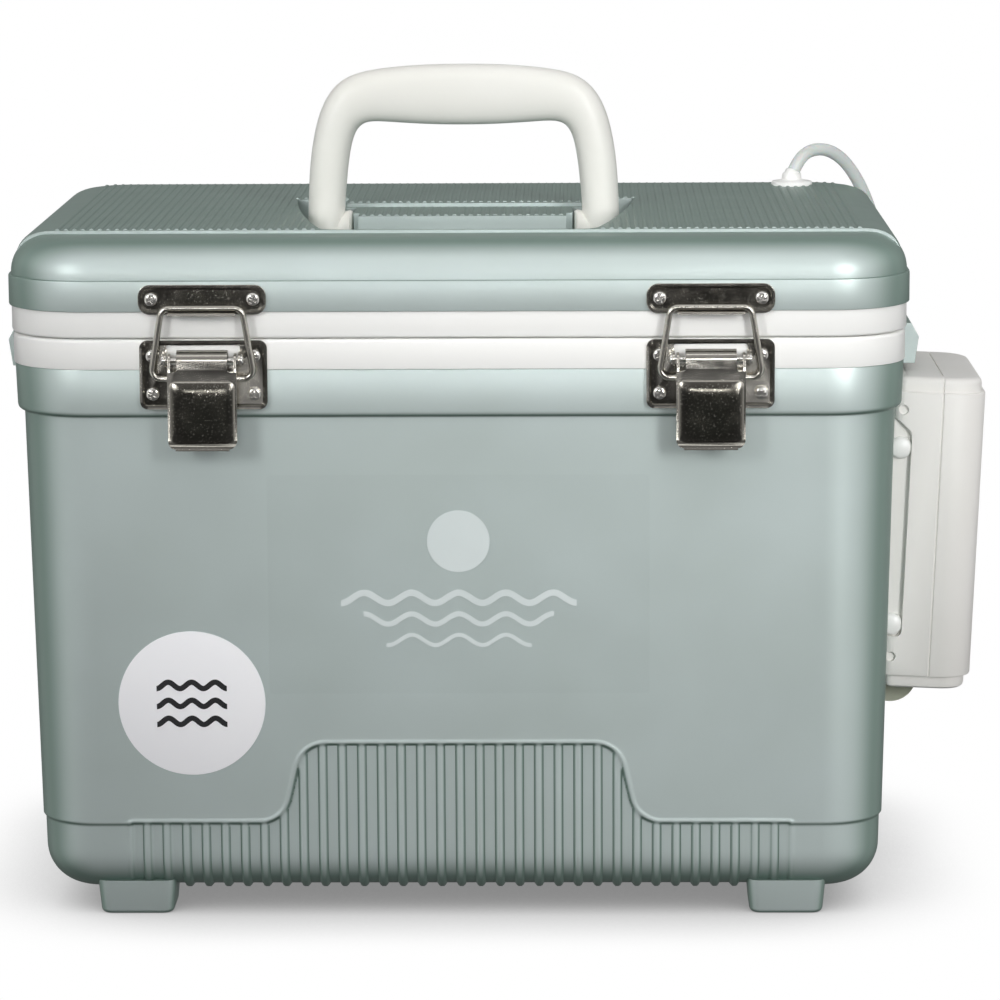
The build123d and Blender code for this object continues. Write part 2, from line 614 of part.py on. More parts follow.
for side, sign in SIDES.items():
    latch_x = sign * LATCH_X
    with BuildPart() as keeper:
        with BuildSketch(front_plane(latch_x, lid_front, keeper_mid)):
            RectangleRounded(2 * PLATE_HALF, keeper_height, 3.5)
            with Locations(*keeper_holes):
                Circle(1.7, mode=Mode.SUBTRACT)
        extrude(amount=SHEET)
        with BuildSketch(Plane.YZ.offset(latch_x - LEDGE_HALF)):
            with BuildLine():
                Polyline(
                    (lid_front - SHEET, KEEPER[0] + 0.6), (lid_front - SHEET, KEEPER[0] + 3),
                    (lid_front - SHEET - 0.6, KEEPER[0] + 1.4), (PIVOT_Y - 2.2, KEEPER[0] + 1.2),
                    (PIVOT_Y - 2.2, KEEPER[0]), (lid_front - SHEET, KEEPER[0] + 0.2),
                    (lid_front - SHEET, KEEPER[0] + 0.6),
                )
            make_face()
        extrude(amount=2 * LEDGE_HALF)
    keeper.part.label = f"keeper_{side}"
    export_step(keeper.part, f"parts/keeper_{side}.step")

    with BuildPart() as keeper_screws:
        add(screw_set(keeper_seats[side]))
    keeper_screws.part.label = f"keeper_screws_{side}"
    export_step(keeper_screws.part, f"parts/keeper_screws_{side}.step")

    with BuildPart() as base_plate:
        with BuildSketch(front_plane(latch_x, tub_front, base_mid)):
            RectangleRounded(2 * PLATE_HALF, base_height, 3)
            with Locations(*base_holes):
                Circle(1.7, mode=Mode.SUBTRACT)
            with Locations((0, 230.2 - base_mid)):
                RectangleRounded(28, 7.6, 1, mode=Mode.SUBTRACT)
        extrude(amount=SHEET)
        # Ears that carry the pivot pin
        with BuildSketch(Plane.YZ.offset(latch_x - EAR_OUTER)) as ear:
            with Locations((PIVOT_Y, PIVOT_Z)):
                Circle(3.0)
            with Locations(((PIVOT_Y + tub_front - SHEET / 2) / 2, PIVOT_Z)):
                Rectangle(tub_front - SHEET / 2 - PIVOT_Y, 6)
            with Locations((PIVOT_Y, PIVOT_Z)):
                Circle(1.25 + RUNNING_GAP, mode=Mode.SUBTRACT)
        extrude(amount=EAR_OUTER - EAR_INNER)
        extrude(ear.sketch.moved(Location((EAR_OUTER + EAR_INNER, 0, 0))),
                amount=EAR_OUTER - EAR_INNER, dir=(1, 0, 0))
    base_plate.part.label = f"base_plate_{side}"
    export_step(base_plate.part, f"parts/base_plate_{side}.step")

    with BuildPart() as base_screws:
        add(screw_set(base_seats[side]))
    base_screws.part.label = f"base_screws_{side}"
    export_step(base_screws.part, f"parts/base_screws_{side}.step")

    with BuildPart() as pivot_pin:
        with Locations(Location((latch_x, PIVOT_Y, PIVOT_Z), (0, 90, 0))):
            Cylinder(1.25, 2 * EAR_OUTER + 0.2)
            with Locations((0, 0, EAR_OUTER + 0.6), (0, 0, -EAR_OUTER - 0.6)):
                Cylinder(2.4, 1.0)
    pivot_pin.part.label = f"pivot_pin_{side}"
    export_step(pivot_pin.part, f"parts/pivot_pin_{side}.step")

    LEVER_FACE = PIVOT_Y - 4.0
    LEVER_END = 192.4
    with BuildPart() as lever:
        # Front sheet and its rolled knuckle
        with BuildSketch(front_plane(latch_x, LEVER_FACE + SHEET, (PIVOT_Z - 4 + LEVER_END) / 2)):
            Rectangle(2 * LEVER_HALF, PIVOT_Z - 4 - LEVER_END)
        extrude(amount=SHEET)
        with BuildSketch(Plane.YZ.offset(latch_x - ROLL_HALF)):
            with BuildLine():
                Polyline(
                    (LEVER_FACE, PIVOT_Z - 5), (LEVER_FACE, PIVOT_Z - 2), (PIVOT_Y - 3.4, PIVOT_Z),
                    (PIVOT_Y, PIVOT_Z), (LEVER_FACE + SHEET, PIVOT_Z - 5), (LEVER_FACE, PIVOT_Z - 5),
                )
            make_face()
            with Locations((PIVOT_Y, PIVOT_Z)):
                Circle(3.6)
        extrude(amount=2 * ROLL_HALF)
        # Side flanges that hold the pin and the bail
        with BuildSketch(Plane.YZ.offset(latch_x - LEVER_HALF)) as flange:
            with BuildLine():
                Polyline(
                    (LEVER_FACE + SHEET / 2, LEVER_END + 8), (LEVER_FACE + SHEET / 2, PIVOT_Z - 4),
                    (PIVOT_Y - 2.5, PIVOT_Z), (PIVOT_Y + 2.5, PIVOT_Z), (PIVOT_Y + 2.5, PIVOT_Z - 11),
                    (LEVER_FACE + 2.6, LEVER_END + 8), (LEVER_FACE + SHEET / 2, LEVER_END + 8),
                )
            make_face()
            with Locations((PIVOT_Y, PIVOT_Z)):
                Circle(2.6)
        extrude(amount=SHEET)
        extrude(flange.sketch.moved(Location((2 * LEVER_HALF - SHEET, 0, 0))), amount=SHEET,
                dir=(1, 0, 0))
        # Raised grip pillow and turned-out lip
        with BuildSketch(front_plane(latch_x, LEVER_FACE, 208.0)):
            RectangleRounded(22, 23, 4)
        extrude(amount=1.0, taper=35)
        with BuildSketch(Plane.YZ.offset(latch_x - LEVER_HALF)):
            with BuildLine():
                Polyline(
                    (LEVER_FACE + SHEET, LEVER_END), (LEVER_FACE + SHEET, LEVER_END + 1.5),
                    (LEVER_FACE, LEVER_END + 2.6), (LEVER_FACE - 2.4, LEVER_END + 0.4),
                    (LEVER_FACE - 1.6, LEVER_END - 0.6), (LEVER_FACE + SHEET, LEVER_END),
                )
            make_face()
        extrude(amount=2 * LEVER_HALF)
        with Locations(Location((latch_x, PIVOT_Y, PIVOT_Z), (0, 90, 0)),
                       Location((latch_x, PIVOT_Y, BAIL_PIVOT_Z), (0, 90, 0))):
            Cylinder(1.25 + RUNNING_GAP, 3 * LEVER_HALF, mode=Mode.SUBTRACT)
    lever.part.label = f"lever_{side}"
    export_step(lever.part, f"parts/lever_{side}.step")

    with BuildPart() as bail:
        with BuildLine() as wire:
            FilletPolyline(
                (latch_x - LEVER_HALF + 2, PIVOT_Y, BAIL_PIVOT_Z),
                (latch_x - LEG_SPLAY - 0.6, PIVOT_Y, BAIL_PIVOT_Z),
                (latch_x - BAR_HALF, PIVOT_Y, BAIL_BAR_Z),
                (latch_x + BAR_HALF, PIVOT_Y, BAIL_BAR_Z),
                (latch_x + LEG_SPLAY + 0.6, PIVOT_Y, BAIL_PIVOT_Z),
                (latch_x + LEVER_HALF - 2, PIVOT_Y, BAIL_PIVOT_Z),
                radius=2.8,
            )
        with BuildSketch(Plane(origin=wire.line @ 0, z_dir=wire.line % 0)):
            Circle(WIRE / 2)
        sweep(path=wire.line)
    bail.part.label = f"bail_{side}"
    export_step(bail.part, f"parts/bail_{side}.step")

# ---------------------------------------------------------------- air line
FLANGE_TOP = LID_TOP + 4.3
NUT_BOTTOM = PLUG_BOTTOM - 4.0
PORT_BOTTOM = NUT_BOTTOM - 4.0
STUB = Vector(0.418, 0.274, 0.866)
stub_end = Vector(*PORT, FLANGE_TOP) + STUB * 1.8
with BuildPart() as hose_bulkhead:
    with Locations((*PORT, LID_TOP)):
        Cylinder(9.6, FLANGE_TOP - LID_TOP, align=(Align.CENTER, Align.CENTER, Align.MIN))
    fillet(hose_bulkhead.faces().sort_by(Axis.Z)[-1].edges(), 2)
    with Locations((*PORT, LID_TOP)):
        Cylinder(4.0, LID_TOP - NUT_BOTTOM, align=(Align.CENTER, Align.CENTER, Align.MAX))
        Cylinder(HOSE / 2 + 0.6, LID_TOP - PORT_BOTTOM, align=(Align.CENTER, Align.CENTER, Align.MAX))
    with BuildSketch(Plane(origin=stub_end, z_dir=STUB)):
        Circle(HOSE / 2 + 0.2)
    extrude(amount=-4)
hose_bulkhead.part.label = "hose_bulkhead"
export_step(hose_bulkhead.part, "parts/hose_bulkhead.step")

with BuildPart() as bulkhead_nut:
    with BuildSketch(Plane.XY.offset(NUT_BOTTOM)):
        with Locations(PORT):
            RegularPolygon(6.2, 6)
            Circle(4.0, mode=Mode.SUBTRACT)
    extrude(amount=PLUG_BOTTOM - NUT_BOTTOM)
bulkhead_nut.part.label = "bulkhead_nut"
export_step(bulkhead_nut.part, "parts/bulkhead_nut.step")

pump_plane = Plane(
    origin=(PUMP_BASE[0], 0, PUMP_BASE[1]),
    x_dir=(cos(radians(PUMP_TILT)), 0, -sin(radians(PUMP_TILT))),
    z_dir=(sin(radians(PUMP_TILT)), 0, cos(radians(PUMP_TILT))),
)
NOZZLE_HEIGHT = 116.0
NOZZLE_END = PUMP_WIDTH / 2 + 7.0
nozzle_mouth = pump_plane.from_local_coords(Vector(0, NOZZLE_END, NOZZLE_HEIGHT))

first_bend = stub_end + STUB * 6.5
OUTER_HOSE_ROUTE = [
    tuple(stub_end), tuple(first_bend), (150.4, 96.9, 291.7), (157.6, 101.5, 291.4),
    (164.6, 106.1, 286.9), (170.7, 110.1, 278.8), (176.2, 113.4, 267.4), (180.6, 115.2, 253.3),
    (184.4, 112.6, 238.5), (187.8, 105.6, 223.8), (191.0, 95.0, 210.6), (194.2, 81.5, 201.4),
    (nozzle_mouth.X, 66.5, nozzle_mouth.Z), tuple(nozzle_mouth),
]
outer_hose = hose_tube(OUTER_HOSE_ROUTE, HOSE, "outer hose")
with BuildPart() as outer_air_hose:
    add(outer_hose)
outer_air_hose.part.label = "outer_air_hose"
export_step(outer_air_hose.part, "parts/outer_air_hose.step")

STONE_Z = CAVITY_FLOOR + STONE_RADIUS + 0.3
stone_plane = Plane(origin=(84.0, 46.0, STONE_Z), x_dir=(0.6, -0.8, 0), z_dir=(-0.8, -0.6, 0))
NIPPLE = 5.0
INNER_HOSE_ROUTE = [
    (PORT[0], PORT[1], PORT_BOTTOM), (PORT[0], PORT[1], 202.0), (140.4, 89.8, 176.0),
    (138.4, 87.6, 146.0), (136.2, 85.2, 117.0), (132.6, 82.4, 90.0), (126.0, 77.6, 66.0),
    (114.4, 68.9, 48.0), (101.6, 59.2, STONE_Z), (84.0 + 0.8 * NIPPLE, 46.0 + 0.6 * NIPPLE, STONE_Z),
]
inner_hose = hose_tube(INNER_HOSE_ROUTE, HOSE, "inner hose")
with BuildPart() as inner_air_hose:
    add(inner_hose)
inner_air_hose.part.label = "inner_air_hose"
export_step(inner_air_hose.part, "parts/inner_air_hose.step")

with BuildPart() as air_stone:
    with BuildSketch(stone_plane):
        Circle(STONE_RADIUS)
    extrude(amount=STONE_LENGTH)
    fillet(air_stone.edges().filter_by(GeomType.CIRCLE), 1.5)
air_stone.part.label = "air_stone"
export_step(air_stone.part, "parts/air_stone.step")

with BuildPart() as stone_nipple:
    with BuildSketch(stone_plane):
        Circle(3.6)
    extrude(amount=-NIPPLE)
stone_nipple.part.label = "stone_nipple"
export_step(stone_nipple.part, "parts/stone_nipple.step")

# ---------------------------------------------------------------- pump
def pump_outline(height, inset):
    """Plan of the pump's case at a height above its base: flat inside, well rounded outside."""
    half_thick = PUMP_THICK / 2 - inset
    half_width = PUMP_WIDTH / 2 - inset
    with BuildSketch(pump_plane.offset(height)) as outline:
        Rectangle(2 * half_thick, 2 * half_width)
        fillet(outline.vertices().group_by(Axis.X)[-1], 14 - inset)
        fillet(outline.vertices().group_by(Axis.X)[0], 5 - inset)
    return outline.sketch


def pump_box(x_low, x_high, y_low, y_high, z_low, z_high):
    """Box in the pump's own tilted frame."""
    middle = ((x_low + x_high) / 2, (y_low + y_high) / 2)
    with BuildPart() as box:
        with BuildSketch(pump_plane.offset(z_low)) as foot:
            with Locations(middle):
                Rectangle(x_high - x_low, y_high - y_low)
        extrude(foot.sketch, amount=z_high - z_low)
    return box.part


HALF_THICK = PUMP_THICK / 2
HALF_WIDTH = PUMP_WIDTH / 2
CAP_INSET = 1.5
cap_base = PUMP_HEIGHT - CAP_HEIGHT
SWITCH_Z = 100.0
RECESS_HALF = 5.5

with BuildPart() as case:
    extrude(pump_outline(DOOR_HEIGHT, 0), amount=cap_base - DOOR_HEIGHT)
    extrude(pump_outline(cap_base, CAP_INSET), amount=CAP_HEIGHT)
    # Side recess beside the wall, with its two round plug seats
    add(pump_box(-HALF_THICK, -11.3, -HALF_WIDTH, -HALF_WIDTH + 3, 22, 112), mode=Mode.SUBTRACT)
    extrude(pump_outline(DOOR_HEIGHT, PUMP_WALL + 3), amount=cap_base - DOOR_HEIGHT,
            mode=Mode.SUBTRACT)
    # Thicker only where the recess needs it: the rest opens to the normal wall
    add(pump_box(-11.3 + PUMP_WALL, HALF_THICK - PUMP_WALL - 14, -HALF_WIDTH + PUMP_WALL,
                 HALF_WIDTH - PUMP_WALL, DOOR_HEIGHT, cap_base), mode=Mode.SUBTRACT)
    add(pump_box(-HALF_THICK + PUMP_WALL, HALF_THICK - PUMP_WALL, -27.4, 31, DOOR_HEIGHT, cap_base),
        mode=Mode.SUBTRACT)
    # Switch recess in the outer face, with a boss behind it
    add(pump_box(HALF_THICK - 4.6, HALF_THICK - 1, -8, 8, SWITCH_Z - 14, SWITCH_Z + 14))
    add(pump_box(HALF_THICK - 2.4, HALF_THICK + 1, -RECESS_HALF, RECESS_HALF, SWITCH_Z - 11,
                 SWITCH_Z + 11), mode=Mode.SUBTRACT)
    # Hole for the outlet nozzle
    outlet_plane = Plane(
        origin=pump_plane.from_local_coords(Vector(0, HALF_WIDTH - 5, NOZZLE_HEIGHT)),
        z_dir=(0, 1, 0),
    )
    with BuildSketch(outlet_plane) as outlet:
        Circle(2.6)
    extrude(outlet.sketch, amount=10, mode=Mode.SUBTRACT)

SEAM = 0.8
with BuildPart() as pump_outer_shell:
    add(case.part)
    add(pump_box(SEAM, HALF_THICK + 5, -HALF_WIDTH - 5, HALF_WIDTH + 5, -5, PUMP_HEIGHT + 5),
        mode=Mode.INTERSECT)
pump_outer_shell.part.label = "pump_outer_shell"
export_step(pump_outer_shell.part, "parts/pump_outer_shell.step")

with BuildPart() as pump_inner_shell:
    add(case.part)
    add(pump_box(-HALF_THICK - 5, SEAM, -HALF_WIDTH - 5, HALF_WIDTH + 5, -5, PUMP_HEIGHT + 5),
        mode=Mode.INTERSECT)
pump_inner_shell.part.label = "pump_inner_shell"
export_step(pump_inner_shell.part, "parts/pump_inner_shell.step")

with BuildPart() as pump_battery_door:
    extrude(pump_outline(DOOR_HEIGHT, 2.5), amount=-DOOR_HEIGHT)
    door_edges = pump_battery_door.faces().sort_by(Axis.Z)[0].edges()
    fillet(door_edges, 2.2)
pump_battery_door.part.label = "pump_battery_door"
export_step(pump_battery_door.part, "parts/pump_battery_door.step")

recess_floor = -HALF_WIDTH + 3
with BuildPart() as pump_side_plugs:
    for plug_z in (27.0, 101.0):
        seat = Plane(
            origin=pump_plane.from_local_coords(Vector(-14.9, recess_floor, plug_z)),
            x_dir=(1, 0, 0), z_dir=(0, -1, 0),
        )
        with BuildSketch(seat) as plug:
            Circle(3.4)
        extrude(plug.sketch, amount=1.2)
pump_side_plugs.part.label = "pump_side_plugs"
export_step(pump_side_plugs.part, "parts/pump_side_plugs.step")

with BuildPart() as pump_nozzle:
    with BuildSketch(outlet_plane) as nozzle_stem:
        Circle(2.6)
    extrude(nozzle_stem.sketch, amount=NOZZLE_END - HALF_WIDTH + 5)
    with BuildSketch(outlet_plane.offset(5)) as nozzle_collar:
        Circle(4.2)
    extrude(nozzle_collar.sketch, amount=NOZZLE_END - HALF_WIDTH, taper=8)
pump_nozzle.part.label = "pump_nozzle"
export_step(pump_nozzle.part, "parts/pump_nozzle.step")

with BuildPart() as switch_slider:
    add(pump_box(HALF_THICK - 2.2, HALF_THICK - 0.3, -RECESS_HALF + 0.4, RECESS_HALF - 0.4,
                 SWITCH_Z - 9.5, SWITCH_Z + 0.5))
switch_slider.part.label = "switch_slider"
export_step(switch_slider.part, "parts/switch_slider.step")

CELL_FLOOR = 8.5
with BuildPart() as d_cells:
    with BuildSketch(pump_plane.offset(CELL_FLOOR)) as cell_plan:
        with GridLocations(0, 2 * CELL_RADIUS + 0.4, 1, 2):
            Circle(CELL_RADIUS)
    extrude(cell_plan.sketch, amount=CELL_HEIGHT - 1.5)
    fillet(d_cells.edges().filter_by(GeomType.CIRCLE), 1.2)
    with BuildSketch(pump_plane.offset(CELL_FLOOR + CELL_HEIGHT - 1.5)) as button_plan:
        with GridLocations(0, 2 * CELL_RADIUS + 0.4, 1, 2):
            Circle(4.5)
    extrude(button_plan.sketch, amount=1.5)
d_cells.part.label = "d_cells"
export_step(d_cells.part, "parts/d_cells.step")

with BuildPart() as upper_contacts:
    contact_z = CELL_FLOOR + CELL_HEIGHT
    for y in (-CELL_RADIUS - 0.2, CELL_RADIUS + 0.2):
        add(pump_box(-5, 5, y - 7, y + 7, contact_z, contact_z + 0.6))
upper_contacts.part.label = "upper_contacts"
export_step(upper_contacts.part, "parts/upper_contacts.step")

with BuildPart() as lower_contact:
    add(pump_box(-5, 5, -24, 24, DOOR_HEIGHT, DOOR_HEIGHT + 0.6))
    for y in (-CELL_RADIUS - 0.2, CELL_RADIUS + 0.2):
        with BuildSketch(pump_plane.offset(DOOR_HEIGHT + 0.6)) as spring_foot:
            with Locations((0, y)):
                Circle(5)
        extrude(spring_foot.sketch, amount=CELL_FLOOR - DOOR_HEIGHT - 0.6, taper=30)
lower_contact.part.label = "lower_contact"
export_step(lower_contact.part, "parts/lower_contact.step")

MOTOR_Z = 92.0
SHAFT_RADIUS = 1.15
ECCENTRIC_OFFSET = 1.2
ECCENTRIC_RADIUS = 4.0
ROD_RADIUS = ECCENTRIC_RADIUS + ECCENTRIC_OFFSET + 0.4


def axle_plane(y):
    """Plane across the motor's axis, facing +Y, at a place along it."""
    return Plane(origin=pump_plane.from_local_coords(Vector(0, y, MOTOR_Z)),
                 x_dir=(-1, 0, 0), z_dir=(0, 1, 0))


with BuildPart() as motor:
    with BuildSketch(axle_plane(-24)) as motor_end:
        Circle(11.9)
    extrude(motor_end.sketch, amount=28)
    with BuildSketch(axle_plane(4)) as motor_boss:
        Circle(3)
    extrude(motor_boss.sketch, amount=1.5)
    with BuildSketch(axle_plane(-12)) as shaft_bore:
        Circle(SHAFT_RADIUS + RUNNING_GAP)
    extrude(shaft_bore.sketch, amount=20, mode=Mode.SUBTRACT)
motor.part.label = "motor"
export_step(motor.part, "parts/motor.step")

with BuildPart() as motor_shaft:
    with BuildSketch(axle_plane(-11.5)) as shaft_end:
        Circle(SHAFT_RADIUS)
    extrude(shaft_end.sketch, amount=26)
    with BuildSketch(axle_plane(8)) as eccentric:
        with Locations((0, ECCENTRIC_OFFSET)):
            Circle(ECCENTRIC_RADIUS)
    extrude(eccentric.sketch, amount=5)
motor_shaft.part.label = "motor_shaft"
export_step(motor_shaft.part, "parts/motor_shaft.step")

DIAPHRAGM_Z = 20.0
with BuildPart() as connecting_rod:
    with BuildSketch(axle_plane(8.5)) as rod_profile:
        Circle(ROD_RADIUS + 2)
        with Locations((0, (ROD_RADIUS + DIAPHRAGM_Z - 2) / 2)):
            Rectangle(4, DIAPHRAGM_Z - 2 - ROD_RADIUS)
        Circle(ROD_RADIUS, mode=Mode.SUBTRACT)
    extrude(rod_profile.sketch, amount=4)
connecting_rod.part.label = "connecting_rod"
export_step(connecting_rod.part, "parts/connecting_rod.step")

AIR_Y = 10.5
with BuildPart() as diaphragm:
    with BuildSketch(pump_plane.offset(MOTOR_Z + DIAPHRAGM_Z - 1.5)) as diaphragm_plan:
        with Locations((0, AIR_Y)):
            Circle(12)
    extrude(diaphragm_plan.sketch, amount=2)
diaphragm.part.label = "diaphragm"
export_step(diaphragm.part, "parts/diaphragm.step")

with BuildPart() as air_head:
    head_base = MOTOR_Z + DIAPHRAGM_Z + 0.5
    with BuildSketch(pump_plane.offset(head_base)) as head_plan:
        with Locations((0, AIR_Y)):
            Rectangle(26, 27)
    extrude(head_plan.sketch, amount=10)
    outlet_start = Plane(
        origin=pump_plane.from_local_coords(Vector(0, AIR_Y + 13.5, NOZZLE_HEIGHT)), z_dir=(0, 1, 0)
    )
    with BuildSketch(outlet_start) as head_outlet:
        Circle(2.4)
    extrude(head_outlet.sketch, amount=HALF_WIDTH - 5 - AIR_Y - 13.5)
air_head.part.label = "air_head"
export_step(air_head.part, "parts/air_head.step")

# The bracket fills the wedge between the drafted wall and the pump, and cradles its base.
BRACKET_HALF = 20.0


def wall_x(z):
    """X of the tub's right wall at a height under the band."""
    return WIDTH / 2 - BODY_INSET - SLOPE * (BAND_BOTTOM - z)


def pump_point(x, z):
    """Point of the pump's own XZ section in the cooler's XZ plane."""
    point = pump_plane.from_local_coords(Vector(x, 0, z))
    return point.X, point.Z


case_low = pump_point(-HALF_THICK, DOOR_HEIGHT)
case_high = pump_point(-HALF_THICK, 112)
door_inner = pump_point(-HALF_THICK + 2.5, 0)
door_outer = pump_point(-2, 0)
with BuildPart() as pump_bracket:
    with BuildSketch(Plane.XZ):
        with BuildLine():
            wall_line = Line((wall_x(72), 72), (wall_x(case_high[1]), case_high[1]))
            Polyline(wall_line @ 1, case_high, case_low, (door_inner[0] - 0.3, case_low[1]),
                     (door_inner[0] - 0.3, door_inner[1] - 0.3), (door_outer[0], door_outer[1] - 0.3))
            ThreePointArc((door_outer[0], door_outer[1] - 0.3), (door_outer[0] - 6, 70.5),
                          wall_line @ 0)
        make_face()
    extrude(amount=BRACKET_HALF, both=True)
    extrude(pump_outline(DOOR_HEIGHT - 0.15, -0.1), amount=PUMP_HEIGHT, mode=Mode.SUBTRACT)
pump_bracket.part.label = "pump_bracket"
export_step(pump_bracket.part, "parts/pump_bracket.step")

print("parts written:", len(os.listdir("parts")))
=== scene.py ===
"""Dresses the insulated bait bucket: an insulated tub and lid, latches, handle and air pump.

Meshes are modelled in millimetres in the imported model's frame and turned to metres when they
are finished.  The latches face -Y and the air pump hangs on the +X side.
"""

import logging
import math
from collections.abc import Callable, Sequence
from dataclasses import dataclass, field
from enum import Enum

import bmesh
import bpy
from mathutils import Matrix, Vector

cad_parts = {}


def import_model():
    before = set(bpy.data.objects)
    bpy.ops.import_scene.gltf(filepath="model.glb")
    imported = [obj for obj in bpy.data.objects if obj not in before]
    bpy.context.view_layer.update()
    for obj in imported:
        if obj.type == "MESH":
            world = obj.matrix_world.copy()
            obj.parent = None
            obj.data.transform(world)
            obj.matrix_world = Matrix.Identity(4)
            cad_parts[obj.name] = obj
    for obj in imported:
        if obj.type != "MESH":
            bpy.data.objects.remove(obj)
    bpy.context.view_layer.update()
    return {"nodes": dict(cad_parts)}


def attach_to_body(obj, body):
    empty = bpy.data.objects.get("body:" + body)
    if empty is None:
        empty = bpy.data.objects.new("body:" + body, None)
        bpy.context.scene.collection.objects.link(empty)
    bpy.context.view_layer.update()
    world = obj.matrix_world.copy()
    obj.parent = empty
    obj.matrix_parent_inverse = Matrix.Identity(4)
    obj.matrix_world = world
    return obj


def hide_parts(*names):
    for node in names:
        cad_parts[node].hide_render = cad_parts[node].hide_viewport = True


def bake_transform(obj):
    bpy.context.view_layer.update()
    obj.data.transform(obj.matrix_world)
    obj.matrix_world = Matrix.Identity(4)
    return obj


log = logging.getLogger("bait_bucket")
logging.basicConfig(level=logging.INFO, format="%(message)s")

MM = 0.001
Mesh = bmesh.types.BMesh
Vert = bmesh.types.BMVert
Edges = list[bmesh.types.BMEdge]
Points = list[tuple[float, float]]
Outline = Sequence[tuple[float, float]]
Relief = Callable[[Vector], tuple[float, float]]
Object = bpy.types.Object
Material = bpy.types.Material
Tree = bpy.types.NodeTree
Socket = bpy.types.NodeSocket


class Side(Enum):
    """The two sides that carry a latch."""

    LEFT = -1
    RIGHT = 1

    @property
    def label(self) -> str:
        """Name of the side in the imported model's node names."""
        return self.name.lower()


# -------------------- helpers for meshes
def turn(degrees: float, axis: str) -> Matrix:
    """Rotation matrix of some degrees about an axis named X, Y or Z."""
    return Matrix.Rotation(math.radians(degrees), 4, axis)


def smoothstep(low: float, high: float, value: float) -> float:
    """Goes smoothly from 0 at low to 1 at high.

    Args:
        low: Value at which the result is 0.
        high: Value at which the result is 1.
        value: Value to place between them.

    Returns:
        A number from 0 to 1.
    """
    share = min(max((value - low) / (high - low), 0.0), 1.0)
    return share * share * (3 - 2 * share)


def at(x: float = 0.0, y: float = 0.0, z: float = 0.0) -> Matrix:
    """Matrix that moves a shape to a place."""
    return Matrix.Translation((x, y, z))


def on_circle(centre: tuple[float, float], radius: float, angles: Sequence[float]) -> Points:
    """Points on a circle at some angles in degrees."""
    turns = [math.radians(angle) for angle in angles]
    return [(centre[0] + radius * math.cos(a), centre[1] + radius * math.sin(a)) for a in turns]


def arc(centre: tuple[float, float], radius: float, start: float, stop: float,
        steps: int) -> Points:
    """Points along an arc in a plane.

    Args:
        centre: Centre of the arc.
        radius: Radius of the arc.
        start: First angle in degrees.
        stop: Last angle in degrees.
        steps: Number of spans.

    Returns:
        The points from start to stop, both included.
    """
    return on_circle(centre, radius, [start + (stop - start) * i / steps
                                      for i in range(steps + 1)])


def rounded_outline(width: float, height: float, corner: float) -> Points:
    """Outline of a rectangle with rounded corners, centred on the origin, anticlockwise."""
    points = []
    for quarter, (sx, sy) in enumerate(((1, 1), (-1, 1), (-1, -1), (1, -1))):
        centre = (sx * (width / 2 - corner), sy * (height / 2 - corner))
        points += arc(centre, corner, 90 * quarter, 90 * quarter + 90, 6)
    return points


def verts_of(made: dict[str, list]) -> list[Vert]:
    """Vertices among the geometry that an operator has made."""
    return [item for item in made["geom"] if isinstance(item, Vert)]


def rim_of(made: dict[str, list], verts: set[Vert]) -> Edges:
    """Edges among an operator's new geometry that run between some vertices."""
    return [item for item in made["geom"] if isinstance(item, bmesh.types.BMEdge)
            and all(vert in verts for vert in item.verts)]


def mesh_data(name: str, mesh: Mesh) -> bpy.types.Mesh:
    """Turns a bmesh to mesh data and frees it."""
    data = bpy.data.meshes.new(name)
    mesh.to_mesh(data)
    mesh.free()
    return data


def add_object(name: str, data: bpy.types.ID) -> Object:
    """Adds an object to the scene."""
    added = bpy.data.objects.new(name, data)
    bpy.context.scene.collection.objects.link(added)
    return added


def worked_out(thing: Object) -> bpy.types.Mesh:
    """Mesh of an object as its modifiers or curve settings leave it."""
    bpy.context.view_layer.update()
    graph = bpy.context.evaluated_depsgraph_get()
    return bpy.data.meshes.new_from_object(thing.evaluated_get(graph))


def round_edges(piece: Object, width: float, angle: float, segments: int = 3) -> None:
    """Adds a live bevel to a piece's sharp edges.

    Args:
        piece: Piece that takes the bevel.
        width: Width of the bevel in millimetres.
        angle: Angle in degrees above which an edge is rounded.
        segments: Segments of the bevel.
    """
    bevel = piece.modifiers.new("Edges", "BEVEL")
    bevel.width = width * MM
    bevel.segments = segments
    bevel.limit_method = "ANGLE"
    bevel.angle_limit = math.radians(angle)
    bevel.harden_normals = True


@dataclass
class Finish:
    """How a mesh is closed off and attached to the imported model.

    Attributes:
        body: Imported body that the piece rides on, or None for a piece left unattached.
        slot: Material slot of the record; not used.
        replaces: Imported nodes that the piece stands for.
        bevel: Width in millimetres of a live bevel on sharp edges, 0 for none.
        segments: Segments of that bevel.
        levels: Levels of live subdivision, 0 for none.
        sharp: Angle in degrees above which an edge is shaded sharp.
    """

    body: str | None
    slot: str
    replaces: tuple[str, ...] = ()
    bevel: float = 0.0
    segments: int = 2
    levels: int = 0
    sharp: float = 35.0


